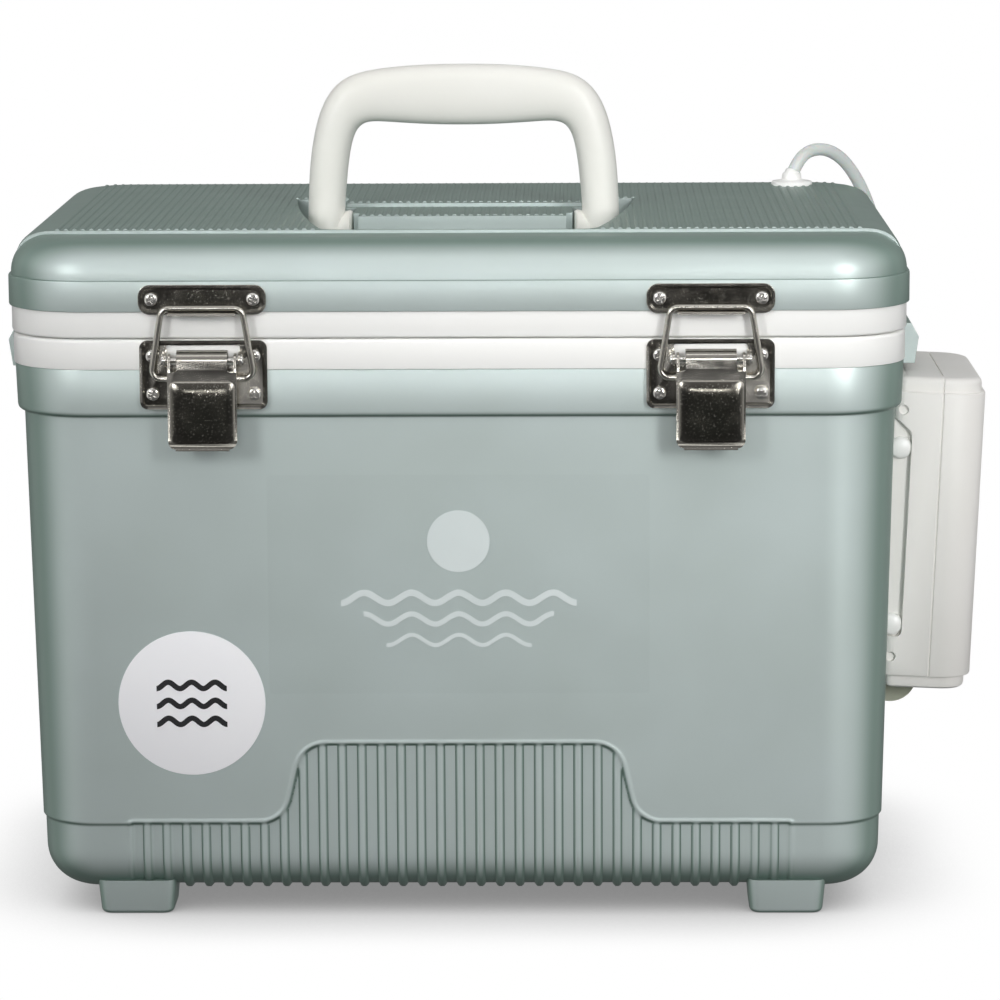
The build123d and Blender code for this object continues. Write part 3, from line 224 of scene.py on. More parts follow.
def place_piece(name: str, mesh: Mesh, material: Material, finish: Finish) -> Object:
    """Turns a bmesh in millimetres to a finished piece of the object.

    Args:
        name: Name of the piece.
        mesh: Its mesh in millimetres, freed here.
        material: Its material.
        finish: How it is finished and attached.

    Returns:
        The new object.
    """
    bmesh.ops.remove_doubles(mesh, verts=mesh.verts, dist=0.001)
    bmesh.ops.recalc_face_normals(mesh, faces=mesh.faces)
    bmesh.ops.scale(mesh, vec=(MM, MM, MM), verts=mesh.verts)
    data = mesh_data(name, mesh)
    piece = add_object(name, data)
    data.materials.append(material)
    data.shade_smooth()
    if not finish.levels:
        data.set_sharp_from_angle(angle=math.radians(finish.sharp))
    if finish.bevel:
        round_edges(piece, finish.bevel, finish.sharp, finish.segments)
    if finish.levels:
        smooth = piece.modifiers.new("Smooth", "SUBSURF")
        smooth.levels = finish.levels
        smooth.render_levels = finish.levels
    attach(piece, finish)
    return piece


def attach(piece: Object, finish: Finish) -> None:
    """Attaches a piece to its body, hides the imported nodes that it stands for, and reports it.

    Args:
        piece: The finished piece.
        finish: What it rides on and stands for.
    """
    if finish.body:
        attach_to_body(piece, finish.body)
    if finish.replaces:
        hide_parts(*finish.replaces)
    log.info("%s: %d faces on %s", piece.name, len(piece.data.polygons), finish.body)


def prism(mesh: Mesh, outline: Outline, low: float, high: float, place: Matrix) -> None:
    """Extrudes an outline into a closed prism.

    Args:
        mesh: Mesh that takes the prism.
        outline: Corners of the outline in its own plane.
        low: Height of the first cap.
        high: Height of the second cap.
        place: Matrix from the outline's own space.
    """
    verts = [mesh.verts.new((x, y, low)) for x, y in outline]
    edges = [mesh.edges.new(pair) for pair in zip(verts, verts[1:] + verts[:1])]
    face = bmesh.ops.edgeloop_fill(mesh, edges=edges)["faces"][0]
    tops = verts_of(bmesh.ops.extrude_face_region(mesh, geom=[face], use_keep_orig=True))
    bmesh.ops.translate(mesh, vec=(0, 0, high - low), verts=tops)
    bmesh.ops.transform(mesh, matrix=place, verts=verts + tops)


def rounded_box(mesh: Mesh, size: Sequence[float], radius: float, place: Matrix,
                segments: int = 3) -> None:
    """Adds a box with every edge rounded.

    Args:
        mesh: Mesh that takes the box.
        size: Full size along X, Y and Z.
        radius: Radius of the edges.
        place: Matrix that places the box's centre.
        segments: Segments round each edge.
    """
    part = bmesh.new()
    bmesh.ops.create_cube(part, size=1.0)
    bmesh.ops.scale(part, vec=size, verts=part.verts)
    bmesh.ops.bevel(part, geom=part.edges[:], offset=radius, affect="EDGES", segments=segments,
                    profile=0.5, material=-1)
    merge_into(mesh, part, place)


def merge_into(mesh: Mesh, part: Mesh, place: Matrix) -> None:
    """Copies one bmesh into another and frees the copied one.

    Args:
        mesh: Mesh that grows.
        part: Mesh that is copied and freed.
        place: Matrix that places the copy.
    """
    bmesh.ops.transform(part, matrix=place, verts=part.verts)
    if place.determinant() < 0:
        bmesh.ops.reverse_faces(part, faces=part.faces)
    held = mesh_data("held", part)
    mesh.from_mesh(held)
    bpy.data.meshes.remove(held)


def stack(mesh: Mesh, rings: Sequence[Sequence[Sequence[float]]], place: Matrix) -> None:
    """Extrudes a ring from station to station, and caps both ends.

    Args:
        mesh: Mesh that takes the shape.
        rings: Rings of three-dimensional points, from one end to the other, of one length.
        place: Matrix that places the shape.
    """
    part = bmesh.new()
    verts = [part.verts.new(point) for point in rings[0]]
    edges = [part.edges.new(pair) for pair in zip(verts, verts[1:] + verts[:1])]
    bmesh.ops.edgeloop_fill(part, edges=edges)
    for ring in rings[1:]:
        made = bmesh.ops.extrude_edge_only(part, edges=edges)
        fresh = set(verts_of(made))
        verts = [next(edge.other_vert(vert) for edge in vert.link_edges
                      if edge.other_vert(vert) in fresh) for vert in verts]
        for vert, point in zip(verts, ring):
            vert.co = point
        edges = rim_of(made, fresh)
    bmesh.ops.edgeloop_fill(part, edges=edges)
    bmesh.ops.recalc_face_normals(part, faces=part.faces)
    merge_into(mesh, part, place)


def turned(mesh: Mesh, profile: Outline, place: Matrix, steps: int = 32) -> None:
    """Spins a profile of radius and height round its own Z axis.

    Args:
        mesh: Mesh that takes the turned shape.
        profile: Pairs of radius and height, from axis to axis for a closed shape.
        place: Matrix that places the shape.
        steps: Number of steps round the axis.
    """
    part = bmesh.new()
    points = [part.verts.new((r, 0, z)) for r, z in profile]
    edges = [part.edges.new(pair) for pair in zip(points, points[1:])]
    bmesh.ops.spin(part, geom=points + edges, cent=(0, 0, 0), axis=(0, 0, 1),
                   angle=math.tau, steps=steps, use_merge=True)
    bmesh.ops.remove_doubles(part, verts=part.verts, dist=0.0005)
    bmesh.ops.recalc_face_normals(part, faces=part.faces)
    merge_into(mesh, part, place)


def bend_profile(mesh: Mesh, line: Outline, thick: float, low: float, high: float,
                 place: Matrix) -> None:
    """Sheet metal along a bent line: a strip of one thickness, as wide as low to high.

    Args:
        mesh: Mesh that takes the strip.
        line: Points of the sheet's outer face in its own plane.
        thick: Thickness, measured to the left of the line's direction.
        low: One end of the strip's width.
        high: Other end of the strip's width.
        place: Matrix from the profile's own space.
    """
    part = bmesh.new()
    points = [part.verts.new((x, y, low)) for x, y in line]
    edges = [part.edges.new(pair) for pair in zip(points, points[1:])]
    tops = verts_of(bmesh.ops.extrude_edge_only(part, edges=edges))
    bmesh.ops.translate(part, vec=(0, 0, high - low), verts=tops)
    bmesh.ops.solidify(part, geom=part.faces[:], thickness=-thick)
    bmesh.ops.recalc_face_normals(part, faces=part.faces)
    merge_into(mesh, part, place)


def combine(piece: Object, other: Mesh, operation: str) -> None:
    """Joins a shape in millimetres to a finished piece, or takes it away.

    Args:
        piece: Piece that changes, with no modifiers on it.
        other: Closed shape to add or take away, freed here.
        operation: UNION or DIFFERENCE.
    """
    bmesh.ops.recalc_face_normals(other, faces=other.faces)
    bmesh.ops.scale(other, vec=(MM, MM, MM), verts=other.verts)
    data = mesh_data("tool", other)
    tool = add_object("tool", data)
    boolean = piece.modifiers.new("Combine", "BOOLEAN")
    boolean.operation = operation
    boolean.solver = "EXACT"
    boolean.object = tool
    result = worked_out(piece)
    piece.modifiers.remove(boolean)
    old = piece.data
    piece.data = result
    bpy.data.meshes.remove(old)
    bpy.data.objects.remove(tool)
    bpy.data.meshes.remove(data)


def cut(piece: Object, cutter: Mesh) -> None:
    """Takes a closed shape in millimetres away from a finished piece."""
    combine(piece, cutter, "DIFFERENCE")


# -------------------- helpers for finishes
def linear(colour: str) -> tuple[float, float, float, float]:
    """Turns an sRGB hex colour to linear.

    Args:
        colour: Colour as six hex digits after a hash sign.

    Returns:
        Linear red, green and blue, and an alpha of 1.
    """
    parts = [int(colour[i:i + 2], 16) / 255 for i in (1, 3, 5)]
    values = [c / 12.92 if c <= 0.04045 else ((c + 0.055) / 1.055) ** 2.4 for c in parts]
    return values[0], values[1], values[2], 1.0


def add_node(tree: Tree, kind: str, settings: dict[str | int, object] | None = None,
             links: dict[str | int, Socket] | None = None) -> bpy.types.Node:
    """Adds a node to a tree with its settings and links.

    Args:
        tree: Node tree that takes the node.
        kind: Blender's name for the kind of node.
        settings: Values by socket name, socket number or property name.
        links: Output sockets by the name or number of the input that they go to.

    Returns:
        The new node.
    """
    node = tree.nodes.new(kind)
    for key, value in (settings or {}).items():
        if isinstance(key, int) or key in node.inputs:
            node.inputs[key].default_value = value
        else:
            setattr(node, key, value)
    for key, source in (links or {}).items():
        tree.links.new(source, node.inputs[key])
    return node


def object_place(tree: Tree) -> Socket:
    """Socket of the point's place on the piece, in metres."""
    return add_node(tree, "ShaderNodeTexCoord").outputs["Object"]


def noise(tree: Tree, size_mm: float, detail: float = 2.0,
          roughness: float = 0.5) -> Socket:
    """Adds a noise whose blotches have a real size.

    Args:
        tree: Node tree that takes the noise.
        size_mm: Size of one blotch in millimetres.
        detail: Octaves of finer noise.
        roughness: How strong the finer octaves are.

    Returns:
        Socket of the noise's value, from 0 to 1.
    """
    node = add_node(tree, "ShaderNodeTexNoise",
                    {"Scale": 1 / (size_mm * MM), "Detail": detail, "Roughness": roughness},
                    {"Vector": object_place(tree)})
    return node.outputs["Fac"]


def spread(tree: Tree, value: Socket, low: float,
           high: float) -> Socket:
    """Spreads a noise's middle range over other limits.

    Args:
        tree: Node tree that takes the node.
        value: Value between 0 and 1.
        low: Result for a low value.
        high: Result for a high value.

    Returns:
        Socket of the result.
    """
    node = add_node(tree, "ShaderNodeMapRange",
                    {"From Min": 0.3, "From Max": 0.7, "To Min": low, "To Max": high},
                    {"Value": value})
    return node.outputs["Result"]


def blend_colours(tree: Tree, share: Socket, first: str,
                  second: str) -> Socket:
    """Mixes two hex colours by a share.

    Args:
        tree: Node tree that takes the mix.
        share: Socket of the second colour's share.
        first: Colour where the share is 0.
        second: Colour where the share is 1.

    Returns:
        Socket of the mixed colour.
    """
    node = add_node(tree, "ShaderNodeMix",
                    {"data_type": "RGBA", 6: linear(first), 7: linear(second)}, {0: share})
    return node.outputs[2]


def edge_highlight_mask(tree: Tree, low: float, high: float) -> Socket:
    """Socket that is 1 on sharp raised edges, which take a painted highlight, and 0 elsewhere.

    Args:
        tree: Node tree that takes the nodes.
        low: Pointiness at which the painted highlight starts.
        high: Pointiness at which the painted highlight is full.

    Returns:
        Socket of the painted highlight.
    """
    point = add_node(tree, "ShaderNodeNewGeometry").outputs["Pointiness"]
    node = add_node(tree, "ShaderNodeMapRange", {"From Min": low, "From Max": high},
                    {"Value": point})
    return node.outputs["Result"]


def cleared(owner: bpy.types.ID) -> Tree:
    """Empties the node tree of a material or of the world."""
    owner.use_nodes = True
    owner.node_tree.nodes.clear()
    return owner.node_tree


MOTTLE_MM = 45.0
HANDLED_MM = 26.0


@dataclass(frozen=True)
class Recipe:
    """A finish that can be made into a material.

    Attributes:
        name: Name of the material.
    """

    name: str

    def surface(self, tree: Tree) -> bpy.types.Node:
        """Builds the nodes of the finish and returns its shader."""
        raise NotImplementedError

    def make(self) -> Material:
        """Builds the material."""
        material = bpy.data.materials.new(self.name)
        tree = cleared(material)
        add_node(tree, "ShaderNodeOutputMaterial",
                 links={"Surface": self.surface(tree).outputs[0]})
        return material


@dataclass(frozen=True)
class Plastic(Recipe):
    """Moulded plastic with a faint mottling and a fine grain left by the mould.

    Attributes:
        colour: Main colour.
        shade: Slightly different colour that the mottling goes to.
        roughness: Least and greatest roughness.
        grain_mm: Size of the mould's grain.
        grain_depth_mm: Height of the grain.
        metallic: Share of metal flake in the plastic.
        coat: Weight of a clear gloss over it.
        coat_roughness: Roughness of that gloss.
        grazing_shade: Colour painted where the surface turns from the eye, partly pearl flop and
            partly painted shade.
    """

    colour: str
    shade: str
    roughness: tuple[float, float] = (0.35, 0.45)
    grain_mm: float = 0.6
    grain_depth_mm: float = 0.01
    metallic: float = 0.0
    coat: float = 0.0
    coat_roughness: float = 0.2
    grazing_shade: str | None = None

    def surface(self, tree: Tree) -> bpy.types.Node:
        """Builds the nodes of the finish and returns its shader."""
        colour = blend_colours(tree, spread(tree, noise(tree, MOTTLE_MM), 0, 1),
                               self.colour, self.shade)
        # Painted shade: the colour goes darker as the surface turns from the eye, on top of the
        # pearl paint's own flop.
        if self.grazing_shade:
            away = add_node(tree, "ShaderNodeLayerWeight", {"Blend": 0.5}).outputs["Facing"]
            share = add_node(tree, "ShaderNodeMapRange",
                             {"interpolation_type": "SMOOTHSTEP", "From Min": 0.04,
                              "From Max": 0.5}, {"Value": away}).outputs["Result"]
            colour = add_node(tree, "ShaderNodeMix",
                              {"data_type": "RGBA", 7: linear(self.grazing_shade)},
                              {0: share, 6: colour}).outputs[2]
        rough = spread(tree, noise(tree, HANDLED_MM), *self.roughness)
        bump = add_node(tree, "ShaderNodeBump",
                        {"Strength": 1.0, "Distance": self.grain_depth_mm * MM},
                        {"Height": noise(tree, self.grain_mm, 3.0, 0.6)})
        return add_node(tree, "ShaderNodeBsdfPrincipled",
                        {"Metallic": self.metallic, "IOR": 1.5,
                         "Coat Weight": self.coat, "Coat Roughness": self.coat_roughness},
                        {"Base Color": colour, "Roughness": rough,
                         "Normal": bump.outputs["Normal"]})


@dataclass(frozen=True)
class Metal(Recipe):
    """Plated or bare metal with faint smears, and painted highlights on its sharp edges and grain
    peaks.

    Attributes:
        colour: Main colour.
        edge: Brighter colour painted on its sharp edges as a highlight.
        roughness: Least and greatest roughness.
        smear_mm: Size of the smears in its polish.
        grain_mm: Size of its fine grain.
        grain_depth_mm: Height of that grain.
        stretch: How far the grain is drawn out along X, for brushed metal.
        glint_strength: How strongly the grain's peaks take the edge colour as painted glints.
    """

    colour: str
    edge: str
    roughness: tuple[float, float] = (0.12, 0.22)
    smear_mm: float = 6.0
    grain_mm: float = 0.8
    grain_depth_mm: float = 0.002
    stretch: float = 1.0
    glint_strength: float = 0.0

    def surface(self, tree: Tree) -> bpy.types.Node:
        """Builds the nodes of the finish and returns its shader."""
        place = add_node(tree, "ShaderNodeMapping", {"Scale": (1 / self.stretch, 1, 1)},
                         {"Vector": object_place(tree)})
        grain = add_node(tree, "ShaderNodeTexNoise",
                         {"Scale": 1 / (self.grain_mm * MM), "Detail": 3.0},
                         {"Vector": place.outputs["Vector"]})
        # Painted glints: the grain's highest peaks are lifted toward the edge colour.
        painted_glints = add_node(tree, "ShaderNodeMapRange",
                          {"From Min": 0.58, "From Max": 0.74, "To Max": self.glint_strength},
                          {"Value": grain.outputs["Fac"]})
        # Painted highlight: sharp edges and glinting grain peaks take the brighter edge colour.
        bright = add_node(tree, "ShaderNodeMath", {"operation": "MAXIMUM"},
                          {0: edge_highlight_mask(tree, 0.51, 0.58), 1: painted_glints.outputs["Result"]})
        colour = blend_colours(tree, bright.outputs[0], self.colour, self.edge)
        rough = spread(tree, noise(tree, self.smear_mm, 4.0), *self.roughness)
        bump = add_node(tree, "ShaderNodeBump",
                        {"Strength": 1.0, "Distance": self.grain_depth_mm * MM},
                        {"Height": grain.outputs["Fac"]})
        return add_node(tree, "ShaderNodeBsdfPrincipled", {"Metallic": 1.0},
                        {"Base Color": colour, "Roughness": rough,
                         "Normal": bump.outputs["Normal"]})


@dataclass(frozen=True)
class ClearHose(Recipe):
    """Soft clear vinyl tubing: milky, glossy and a little see-through."""

    name: str = "clear_vinyl_hose"
    colour: str = "#EDF1EF"
    shade: str = "#DFE5E2"

    def surface(self, tree: Tree) -> bpy.types.Node:
        """Builds the nodes of the finish and returns its shader."""
        colour = blend_colours(tree, spread(tree, noise(tree, 12.0), 0, 1), self.colour, self.shade)
        rough = spread(tree, noise(tree, 5.0, 3.0), 0.16, 0.26)
        return add_node(tree, "ShaderNodeBsdfPrincipled",
                        {"IOR": 1.45, "Transmission Weight": 0.25,
                         "Subsurface Weight": 0.2, "Subsurface Scale": 0.002},
                        {"Base Color": colour, "Roughness": rough})


@dataclass(frozen=True)
class Porous(Recipe):
    """Sintered stone or rigid foam: packed grains with pits between them.

    Attributes:
        colour: Colour of the grains.
        pit_shade: Darker colour painted down in the pits as painted shade.
        grain_mm: Size of a grain.
        depth_mm: Depth of the pits.
    """

    colour: str
    pit_shade: str
    grain_mm: float
    depth_mm: float

    def surface(self, tree: Tree) -> bpy.types.Node:
        """Builds the nodes of the finish and returns its shader."""
        cells = add_node(tree, "ShaderNodeTexVoronoi", {"Scale": 1 / (self.grain_mm * MM)},
                         {"Vector": object_place(tree)})
        share = add_node(tree, "ShaderNodeMapRange", {"From Min": 0.1, "From Max": 0.8},
                         {"Value": cells.outputs["Distance"]}).outputs["Result"]
        bump = add_node(tree, "ShaderNodeBump",
                        {"Strength": 1.0, "Distance": self.depth_mm * MM, "invert": True},
                        {"Height": share})
        rough = spread(tree, noise(tree, 4.0), 0.85, 0.95)
        # Painted shade: the pits between the grains take the darker colour.
        return add_node(tree, "ShaderNodeBsdfPrincipled", {"IOR": 1.5},
                        {"Base Color": blend_colours(tree, share, self.colour, self.pit_shade),
                         "Roughness": rough, "Normal": bump.outputs["Normal"]})


@dataclass(frozen=True)
class ClearFilm(Recipe):
    """Thin clear label film that only dulls and cools what lies under it."""

    name: str = "clear_label_film"
    colour: str = "#B4C2C0"

    def surface(self, tree: Tree) -> bpy.types.Node:
        """Builds the nodes of the finish and returns its shader."""
        rough = spread(tree, noise(tree, 14.0, 3.0), 0.3, 0.38)
        veil = spread(tree, noise(tree, 60.0), 0.006, 0.012)
        return add_node(tree, "ShaderNodeBsdfPrincipled",
                        {"Base Color": linear(self.colour), "IOR": 1.45},
                        {"Roughness": rough, "Alpha": veil})


def made(recipe: Recipe) -> Material:
    """Field of the palette that holds a recipe's material."""
    return field(default_factory=recipe.make)


@dataclass
class Palette:
    """Every finish of the object, built once.

    The shell is a pearl-grey polyethylene whose fine metal flake lifts its highlights; the white
    mouldings are glossier; the latches are dark nickel over steel and their screws bright steel,
    and each metal carries a painted highlight on its sharp edges.
    """

    # The shell's grazing colour is partly pearl flop and partly painted shade on its corners and
    # shoulders.
    shell: Material = made(Plastic("pearl_polyethylene", "#C0CCCA", "#BBC7C4", (0.42, 0.46),
        grain_mm=0.9, grain_depth_mm=0.012, metallic=0.42, coat=0.05, coat_roughness=0.35,
        grazing_shade="#788D84"))
    liner: Material = made(Plastic("white_polypropylene", "#F7F7F4", "#F5F5F2", (0.30, 0.34),
        grain_mm=1.4, grain_depth_mm=0.004))
    handle: Material = made(Plastic("white_moulded_nylon", "#EFEEE8", "#ECEBE4", (0.34, 0.38),
        grain_mm=0.7, grain_depth_mm=0.008))
    pump: Material = made(Plastic("white_abs", "#EEECE8", "#EBE9E4", (0.42, 0.48), grain_mm=0.5,
        grain_depth_mm=0.012))
    bracket: Material = made(Plastic("grey_green_abs", "#B4B7A6", "#ABAE98", (0.45, 0.55)))
    gasket: Material = made(Plastic("black_rubber", "#3C3E3D", "#343635", (0.6, 0.75),
        grain_depth_mm=0.02))
    # The nickel's pale edge colour gives a painted highlight on its edges and painted glints on its
    # grain.
    nickel: Material = made(Metal("dark_nickel_plating", "#52504A", "#E9E5DB", (0.12, 0.24),
        grain_mm=0.7, grain_depth_mm=0.014, glint_strength=0.45))
    screw: Material = made(Metal("bright_steel", "#C4C2BD", "#DEDCD8", (0.14, 0.24), smear_mm=2.0))
    hinge: Material = made(Metal("brushed_stainless", "#A9A9A7", "#C9C9C6", (0.26, 0.36),
        grain_mm=0.35, grain_depth_mm=0.004, stretch=18.0))
    brass: Material = made(Metal("sheet_brass", "#C9A75E", "#E0C888", (0.2, 0.34)))
    hose: Material = made(ClearHose())
    stone: Material = made(Porous("sintered_air_stone", "#8C9496", "#5E6668", 0.7, 0.25))
    foam: Material = made(Porous("rigid_foam", "#E8DFB8", "#CFC49A", 0.8, 0.12))
    film: Material = made(ClearFilm())
    pale_print: Material = made(Plastic("pale_label_ink", "#D3DBDA", "#CCD5D4", (0.4, 0.5),
        grain_depth_mm=0.002))
    label: Material = made(Plastic("white_vinyl_label", "#FAFAFC", "#F6F6F9", (0.3, 0.4),
        grain_depth_mm=0.003))
    dark_print: Material = made(Plastic("black_label_ink", "#1C1C1E", "#242426", (0.4, 0.5),
        grain_depth_mm=0.003))
    cell: Material = made(Plastic("printed_cell_wrap", "#2F3E55", "#28364B", (0.25, 0.35),
        metallic=0.3))
    dark_plastic: Material = made(Plastic("black_acetal", "#343638", "#2C2E30", (0.4, 0.5)))


# -------------------- the cooler's plan
@dataclass(frozen=True)
class Plan:
    """Rounded rectangle of the cooler, seen from above, that other levels stand in from.

    Attributes:
        half_x: Half of the width.
        half_y: Half of the depth.
        corner: Corner radius of the outline itself.
        least_corner: Least corner radius at any inset.
    """

    half_x: float = 180.0
    half_y: float = 120.0
    corner: float = 34.0
    least_corner: float = 20.0

    def radius(self, inset: float) -> float:
        """Corner radius at an inset."""
        return max(self.corner - inset, self.least_corner)

    def moved(self, base: Vector, inset: float) -> Vector:
        """Where a point of the outline lies at an inset.

        Args:
            base: Point of the outline at no inset.
            inset: How far the level stands in.

        Returns:
            The point at that inset, at height zero.
        """
        radius = self.radius(inset)
        place = Vector((0.0, 0.0, 0.0))
        for axis, half in ((0, self.half_x), (1, self.half_y)):
            straight = half - self.corner
            beyond = abs(base[axis]) - straight
            sign = math.copysign(1.0, base[axis])
            shrunk = half - inset - radius
            if beyond > 0:
                place[axis] = sign * (shrunk + beyond / self.corner * radius)
            else:
                place[axis] = base[axis] / straight * shrunk
        return place


@dataclass
class Loft:
    """Closed shape built level by level from the cooler's plan.

    Attributes:
        plan: Plan that every level follows.
        corner_steps: Segments round each corner.
        front_steps: Columns along the front edge.
        mesh: The growing mesh.
        bases: Point of the outline that each vertex of the last level stands for.
        edges: Edges of the last level.
        first: Edges of the first level.
    """

    plan: Plan = field(default_factory=Plan)
    corner_steps: int = 10
    front_steps: int = 1
    mesh: Mesh = field(default_factory=bmesh.new)
    bases: dict[Vert, Vector] = field(default_factory=dict)
    edges: Edges = field(default_factory=list)
    first: Edges = field(default_factory=list)

    def __post_init__(self) -> None:
        """Makes the plan's outline as a ring of edges."""
        plan = self.plan
        bmesh.ops.create_grid(self.mesh, x_segments=1, y_segments=1, size=1.0)
        bmesh.ops.scale(self.mesh, vec=(plan.half_x, plan.half_y, 1), verts=self.mesh.verts)
        bmesh.ops.bevel(self.mesh, geom=self.mesh.verts[:], offset=plan.corner, affect="VERTICES",
                        segments=self.corner_steps, profile=0.5, material=-1)
        bmesh.ops.delete(self.mesh, geom=self.mesh.faces[:], context="FACES_ONLY")
        if self.front_steps > 1:
            front = [e for e in self.mesh.edges
                     if all(v.co.y < -plan.half_y + 0.01 for v in e.verts)]
            bmesh.ops.subdivide_edges(self.mesh, edges=front, cuts=self.front_steps - 1)
        self.bases = {v: v.co.copy() for v in self.mesh.verts}
        self.edges = self.mesh.edges[:]
        self.first = self.edges

    def start(self, inset: float, height: float) -> None:
        """Puts the first level in place.

        Args:
            inset: How far it stands in from the plan.
            height: Its height.
        """
        for vert, base in self.bases.items():
            vert.co = self.plan.moved(base, inset) + Vector((0, 0, height))

    def level(self, inset: float, height: float, relief: Relief | None = None) -> None:
        """Adds a level to the last one.

        Args:
            inset: How far it stands in from the plan.
            height: Its height.
            relief: Gives each point of the outline a further inset and lift.
        """
        made = bmesh.ops.extrude_edge_only(self.mesh, edges=self.edges)
        fresh = set(verts_of(made))
        bases = {}
        for vert in fresh:
            below = next(e.other_vert(vert) for e in vert.link_edges
                         if e.other_vert(vert) in self.bases)
            bases[vert] = base = self.bases[below]
            extra, lift = relief(base) if relief else (0.0, 0.0)
            vert.co = self.plan.moved(base, inset + extra) + Vector((0, 0, height + lift))
        self.bases = bases
        self.edges = rim_of(made, fresh)

    def levels(self, rows: Outline) -> None:
        """Adds several plain levels.

        Args:
            rows: Pairs of inset and height.
        """
        for inset, height in rows:
            self.level(inset, height)

    def cap(self, edges: Edges | None = None) -> None:
        """Closes a ring of edges with one flat face."""
        bmesh.ops.contextual_create(self.mesh, geom=edges or self.edges)

    def close(self) -> None:
        """Caps the first and last levels."""
        self.cap(self.first)
        self.cap()

    def ring(self) -> None:
        """Joins the last level to the first."""
        bmesh.ops.bridge_loops(self.mesh, edges=self.edges + self.first)


# -------------------- tub
@dataclass
class Tub:
    """Insulated tub: moulded shell with a ribbed skirt, liner, lugs, feet and labels.

    Attributes:
        palette: Finishes of the object.
        draft: Slope of the walls.
        skirt_top: Height of the step above the skirt.
        body_inset: Inset of the wall under the band.
        band_bottom: Height of the band's lower edge.
        rim_bottom: Height of the shell's top, under the rim.
        base_round: Radius between wall and base.
        base_bottom: Height of the base above the feet's soles.
        rib_pitch: Spacing of the ribs.
        rib_count: Number of ribs.
        rib_crest: Depth of the ribs' crests.
        bead_height: How far the bead along the panel's edge stands up.
        bead_off: Distance of the bead from the panel's edge.
        bead_width: Width over which the bead falls away.
        panel_half: Half width of the ribbed panel.
        panel_depth: Depth of the panel's floor.
        relief_top: Height at which the wall's fine levels start.
        relief_step: Distance between two fine levels.
        foot_x: Distance of the feet's centres from the middle, across.
        foot_y: Distance of the feet's centres from the middle, front to back.
        tab_height: Height of the panel's raised middle.
        tab_top: Half width of the raised middle at its top.
        tab_base: Half width of the raised middle at its foot.
        tab_round: Radius of the raised middle's corners.
        foot_round: Radius of the fillet at the raised middle's foot.
        edge: Line of the panel's edge.
    """

    palette: Palette
    draft: float = math.tan(math.radians(1.3))
    skirt_top: float = 38.8
    body_inset: float = 5.4
    band_bottom: float = 205.3
    rim_bottom: float = 224.4
    base_round: float = 18.0
    base_bottom: float = 8.5
    rib_pitch: float = 7.9
    rib_count: int = 33
    rib_crest: float = 0.3
    bead_height: float = 0.38
    bead_off: float = 1.1
    bead_width: float = 0.6
    panel_half: float = 132.2
    panel_depth: float = 1.8
    relief_top: float = 76.8
    relief_step: float = 0.6
    foot_x: float = 131.5
    foot_y: float = 92.0
    tab_height: float = 32.7
    tab_top: float = 63.0
    tab_base: float = 70.5
    tab_round: float = 11.5
    foot_round: float = 13.0
    edge: list[Vector] = field(init=False)

    def __post_init__(self) -> None:
        """Works out the panel's edge."""
        self.edge = self.panel_edge()

    def wall_inset(self, height: float) -> float:
        """Inset of the drafted wall's main face at a height."""
        return self.body_inset + self.draft * (self.band_bottom - height)

    def wall_place(self, x: float, up: float, out: float = 0.0) -> Matrix:
        """Matrix that lays a flat shape on the drafted front wall.

        Args:
            x: Place along the wall.
            up: Place up the wall from the skirt's top.
            out: How far it stands off the wall.

        Returns:
            The matrix from the shape's own XY plane, whose Z axis points out of the wall.
        """
        y = -(120.0 - self.wall_inset(self.skirt_top))
        return at(0, y, self.skirt_top) @ turn(90 + 1.3, "X") @ at(x, up, out)

    def panel_edge(self) -> list[Vector]:
        """Right half of the panel's edge as a line, measured up from the skirt's top."""
        lean = math.atan2(self.tab_base - self.tab_top, self.tab_height)
        cos, sin = math.cos(lean), math.sin(lean)
        reach = self.tab_base * cos
        top, foot = self.tab_round, self.foot_round
        high = ((reach - top - (self.tab_height - top) * sin) / cos, self.tab_height - top)
        low = ((reach + foot - foot * sin) / cos, foot)
        tilt = math.degrees(lean)
        points = [(0.0, self.tab_height), *arc(high, top, 90, tilt, 10),
                  *arc(low, foot, 180 + tilt, 270, 10), (self.panel_half, 0.0),
                  (self.panel_half, -60.0)]
        return [Vector(point) for point in points]

    def panel_distance(self, x: float, height: float) -> float:
        """Signed distance to the panel's edge, positive inside the panel.

        Args:
            x: Place along the wall.
            height: Height on the wall.

        Returns:
            Distance in millimetres, no more than 6 inside.
        """
        point = Vector((abs(x), height - self.skirt_top))
        if point.y < -6:
            return min(self.panel_half - point.x, 6.0)
        nearest, crossed = 99.0, point.x > self.panel_half
        for start, stop in zip(self.edge, self.edge[1:]):
            along = stop - start
            share = min(max((point - start).dot(along) / along.length_squared, 0.0), 1.0)
            nearest = min(nearest, (start + along * share - point).length)
            if start.x <= point.x < stop.x:
                level = start.y + along.y * (point.x - start.x) / along.x
                crossed = point.y > level
        return -nearest if crossed else min(nearest, 6.0)

    def depth(self, x: float, height: float) -> float:
        """How far the front wall stands in from its main face.

        Args:
            x: Place along the wall.
            height: Height on the wall.

        Returns:
            Depth in millimetres.
        """
        skirt = smoothstep(-0.2, 1.0, self.skirt_top - height)
        distance = self.panel_distance(x, height)
        skirt -= self.bead_height * math.exp(-((distance + self.bead_off) / self.bead_width) ** 2)
        inside = smoothstep(-0.5, 0.7, distance)
        if inside <= 0:
            return skirt
        place = x / self.rib_pitch
        off = abs(place - round(place)) * self.rib_pitch
        within = abs(round(place)) <= (self.rib_count - 1) / 2
        rib = 1 - smoothstep(0.9, 2.0, off) if within else 0.0
        floor = self.panel_depth - (self.panel_depth - self.rib_crest) * rib
        return skirt + (floor - skirt) * inside

